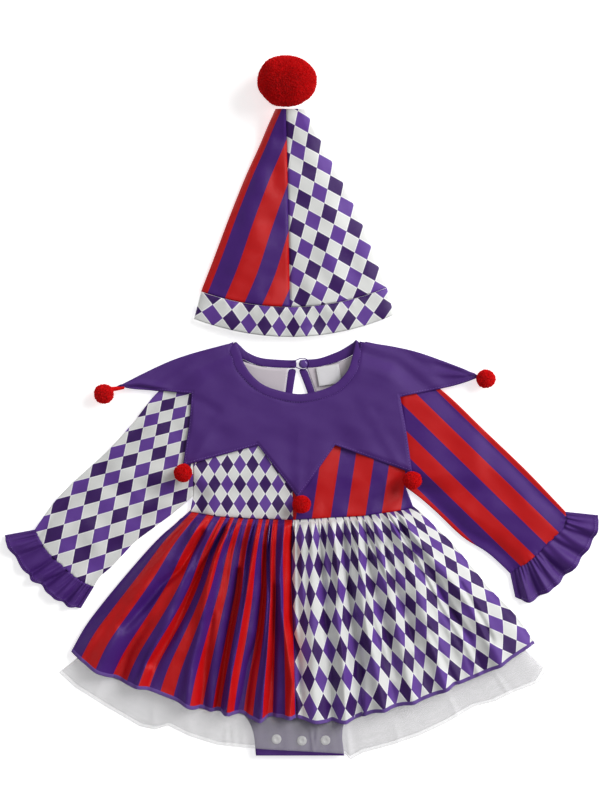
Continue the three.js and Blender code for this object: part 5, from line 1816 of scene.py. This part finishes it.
class Seams:
    """Rows of stitches, gathered into one piece of thread."""

    def __init__(self, name: str, material: bpy.types.Material) -> None:
        """Args:
            name: The piece's name.
            material: The thread.
        """
        self.name, self.material = name, material
        self.bm = bmesh.new()

    def row(self, place: Plane, u: Array, v: Array, pitch: float = 2.6, length: float = 1.9,
            width: float = 0.42, above: float = 0.1) -> None:
        """Sews one row along places of a piece.

        Args:
            place: The piece's form.
            u: First coordinates along the row.
            v: Second coordinates along the row.
            pitch: Distance between stitches, in mm.
            length: Length of each stitch, in mm.
            width: Thickness of the thread, in mm.
            above: Height of the thread's middle over the cloth, in mm.
        """
        points = place(u, v)
        run = run_of(points)
        for middle in np.arange(pitch, run[-1] - pitch / 2, pitch):
            a, b = (np.array([np.interp(middle + e, run, points[:, k]) for k in range(3)]) for e in (-0.5, 0.5))
            at = Vector(((a + b) / 2 + ORIGIN + np.array([0, 0, above])) * MM)
            turn = Vector(b - a).to_track_quat("X", "Z").to_matrix().to_4x4()
            size = Matrix.Diagonal((length * MM / 2, width * MM / 2, width * MM / 2, 1))
            bmesh.ops.create_icosphere(self.bm, subdivisions=1, radius=1.0,
                                       matrix=Matrix.Translation(at) @ turn @ size)

    def finish(self, slot: str) -> None:
        """Makes the piece."""
        for face in self.bm.faces:
            face.smooth = True
        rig.slot(make_object(self.name, self.bm, [self.material]), slot)


# ---- Studio -------------------------------------------------------------------------------------


@dataclass
class Studio:
    """A white table seen from straight above in soft daylight from the upper right."""

    height: float = 4.0
    lens: float = 180.0
    centre: tuple[float, float] = (5.0, 115.0)  # plan place under the camera

    def build(self) -> None:
        """Makes the table, the lights and the camera."""
        scene = bpy.context.scene
        scene.view_settings.view_transform = "Standard"
        bm = bmesh.new()
        bmesh.ops.create_grid(bm, x_segments=1, y_segments=1, size=6.0)
        bmesh.ops.translate(bm, verts=bm.verts, vec=(0, 0, -0.0004))
        mesh = bpy.data.meshes.new("table_top")
        bm.to_mesh(mesh)
        bm.free()
        table = bpy.data.objects.new("table_top", mesh)
        scene.collection.objects.link(table)
        paint = Paint("white_table")
        paint.set(Base_Color=(0.93, 0.93, 0.93, 1.0), Roughness=0.9, Emission_Color=(1.0, 1.0, 1.0, 1.0),
                  Emission_Strength=0.56)
        mesh.materials.append(paint.material)
        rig.stage(table)
        world = bpy.data.worlds.new("soft_daylight")
        world.use_nodes = True
        sky = world.node_tree.nodes["Background"]
        sky.inputs["Color"].default_value = (1.0, 1.0, 1.0, 1.0)
        sky.inputs["Strength"].default_value = 0.3
        scene.world = world
        self.lamp("key", (3.8, 2.2, 2.8), 3.4, 270.0)
        self.lamp("fill", (-1.6, 0.6, 2.4), 2.0, 6.0)
        camera = bpy.data.objects.new("camera", bpy.data.cameras.new("camera"))
        camera.data.lens, camera.data.sensor_width = self.lens, 36.0
        camera.data.clip_end = 20.0
        camera.location = ((self.centre[0] + ORIGIN[0]) * MM, (self.centre[1] + ORIGIN[1]) * MM, self.height)
        scene.collection.objects.link(camera)
        scene.camera = camera

    @staticmethod
    def lamp(name: str, place: tuple[float, float, float], size: float, power: float) -> None:
        """A square soft light that looks at the middle of the table."""
        light = bpy.data.lights.new(name, "AREA")
        light.size, light.energy = size, power
        lamp = bpy.data.objects.new(name, light)
        lamp.location = place
        lamp.rotation_euler = (-Vector(place)).to_track_quat("-Z", "Y").to_euler()
        bpy.context.scene.collection.objects.link(lamp)


# ---- The whole costume --------------------------------------------------------------------------


def sew(finishes: Finishes, collar: Cloth, ruffles: Sequence[Cloth], tapes: Sequence[Tape]) -> None:
    """The rows of topstitching that show."""
    thread = Seams("topstitching", finishes.thread)
    steps = np.linspace(0, 1, 900)
    thread.row(collar.place, steps, np.full(900, 0.965), pitch=2.8, length=2.0, width=0.4)
    for tape in tapes:
        thread.row(tape.place, np.full(900, 0.08), steps, pitch=2.6, length=1.8, width=0.36, above=0.3)
    thread.row(collar.place, steps, np.full(900, 0.03), pitch=2.6, length=1.8, width=0.36)
    for ruffle in ruffles:
        thread.row(ruffle.place, np.linspace(0.04, 0.46, 500), np.full(500, 0.9), pitch=2.4, length=1.7,
                   width=0.38)
    thread.finish("purple_satin")


def main() -> None:
    """Builds the costume piece by piece."""
    logging.basicConfig(level=logging.INFO, format="%(message)s")
    Studio().build()
    finishes = Finishes()
    bodice = Bodice(finishes)
    bodice.build()
    ruffles = Sleeves(finishes).build()
    skirt = Skirt(finishes, bodice)
    skirt.build()
    Underskirt(finishes, skirt).build()
    collar = Collar(finishes, bodice).build()
    tapes = Neck(finishes).build()
    Hat(finishes).build()
    Pompom("hat_pompom", 6, 3, 2.6, 0.06, (0.0, -3.0)).build(finishes)
    small = ("shoulder_left", "shoulder_right", "lower_left", "lower_right", "centre")
    for seed, place in enumerate(small, 11):
        Pompom("pompom_" + place, 4, seed, 1.5, 0.08).build(finishes)
    sew(finishes, collar, ruffles, tapes)
    declare_cuts()
    with open("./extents.json", "w") as sizes:
        json.dump({"cad": CAD_BOX, "visual": [list(corner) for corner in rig.bounds()]}, sizes)


if __name__ == "__main__":
    main()
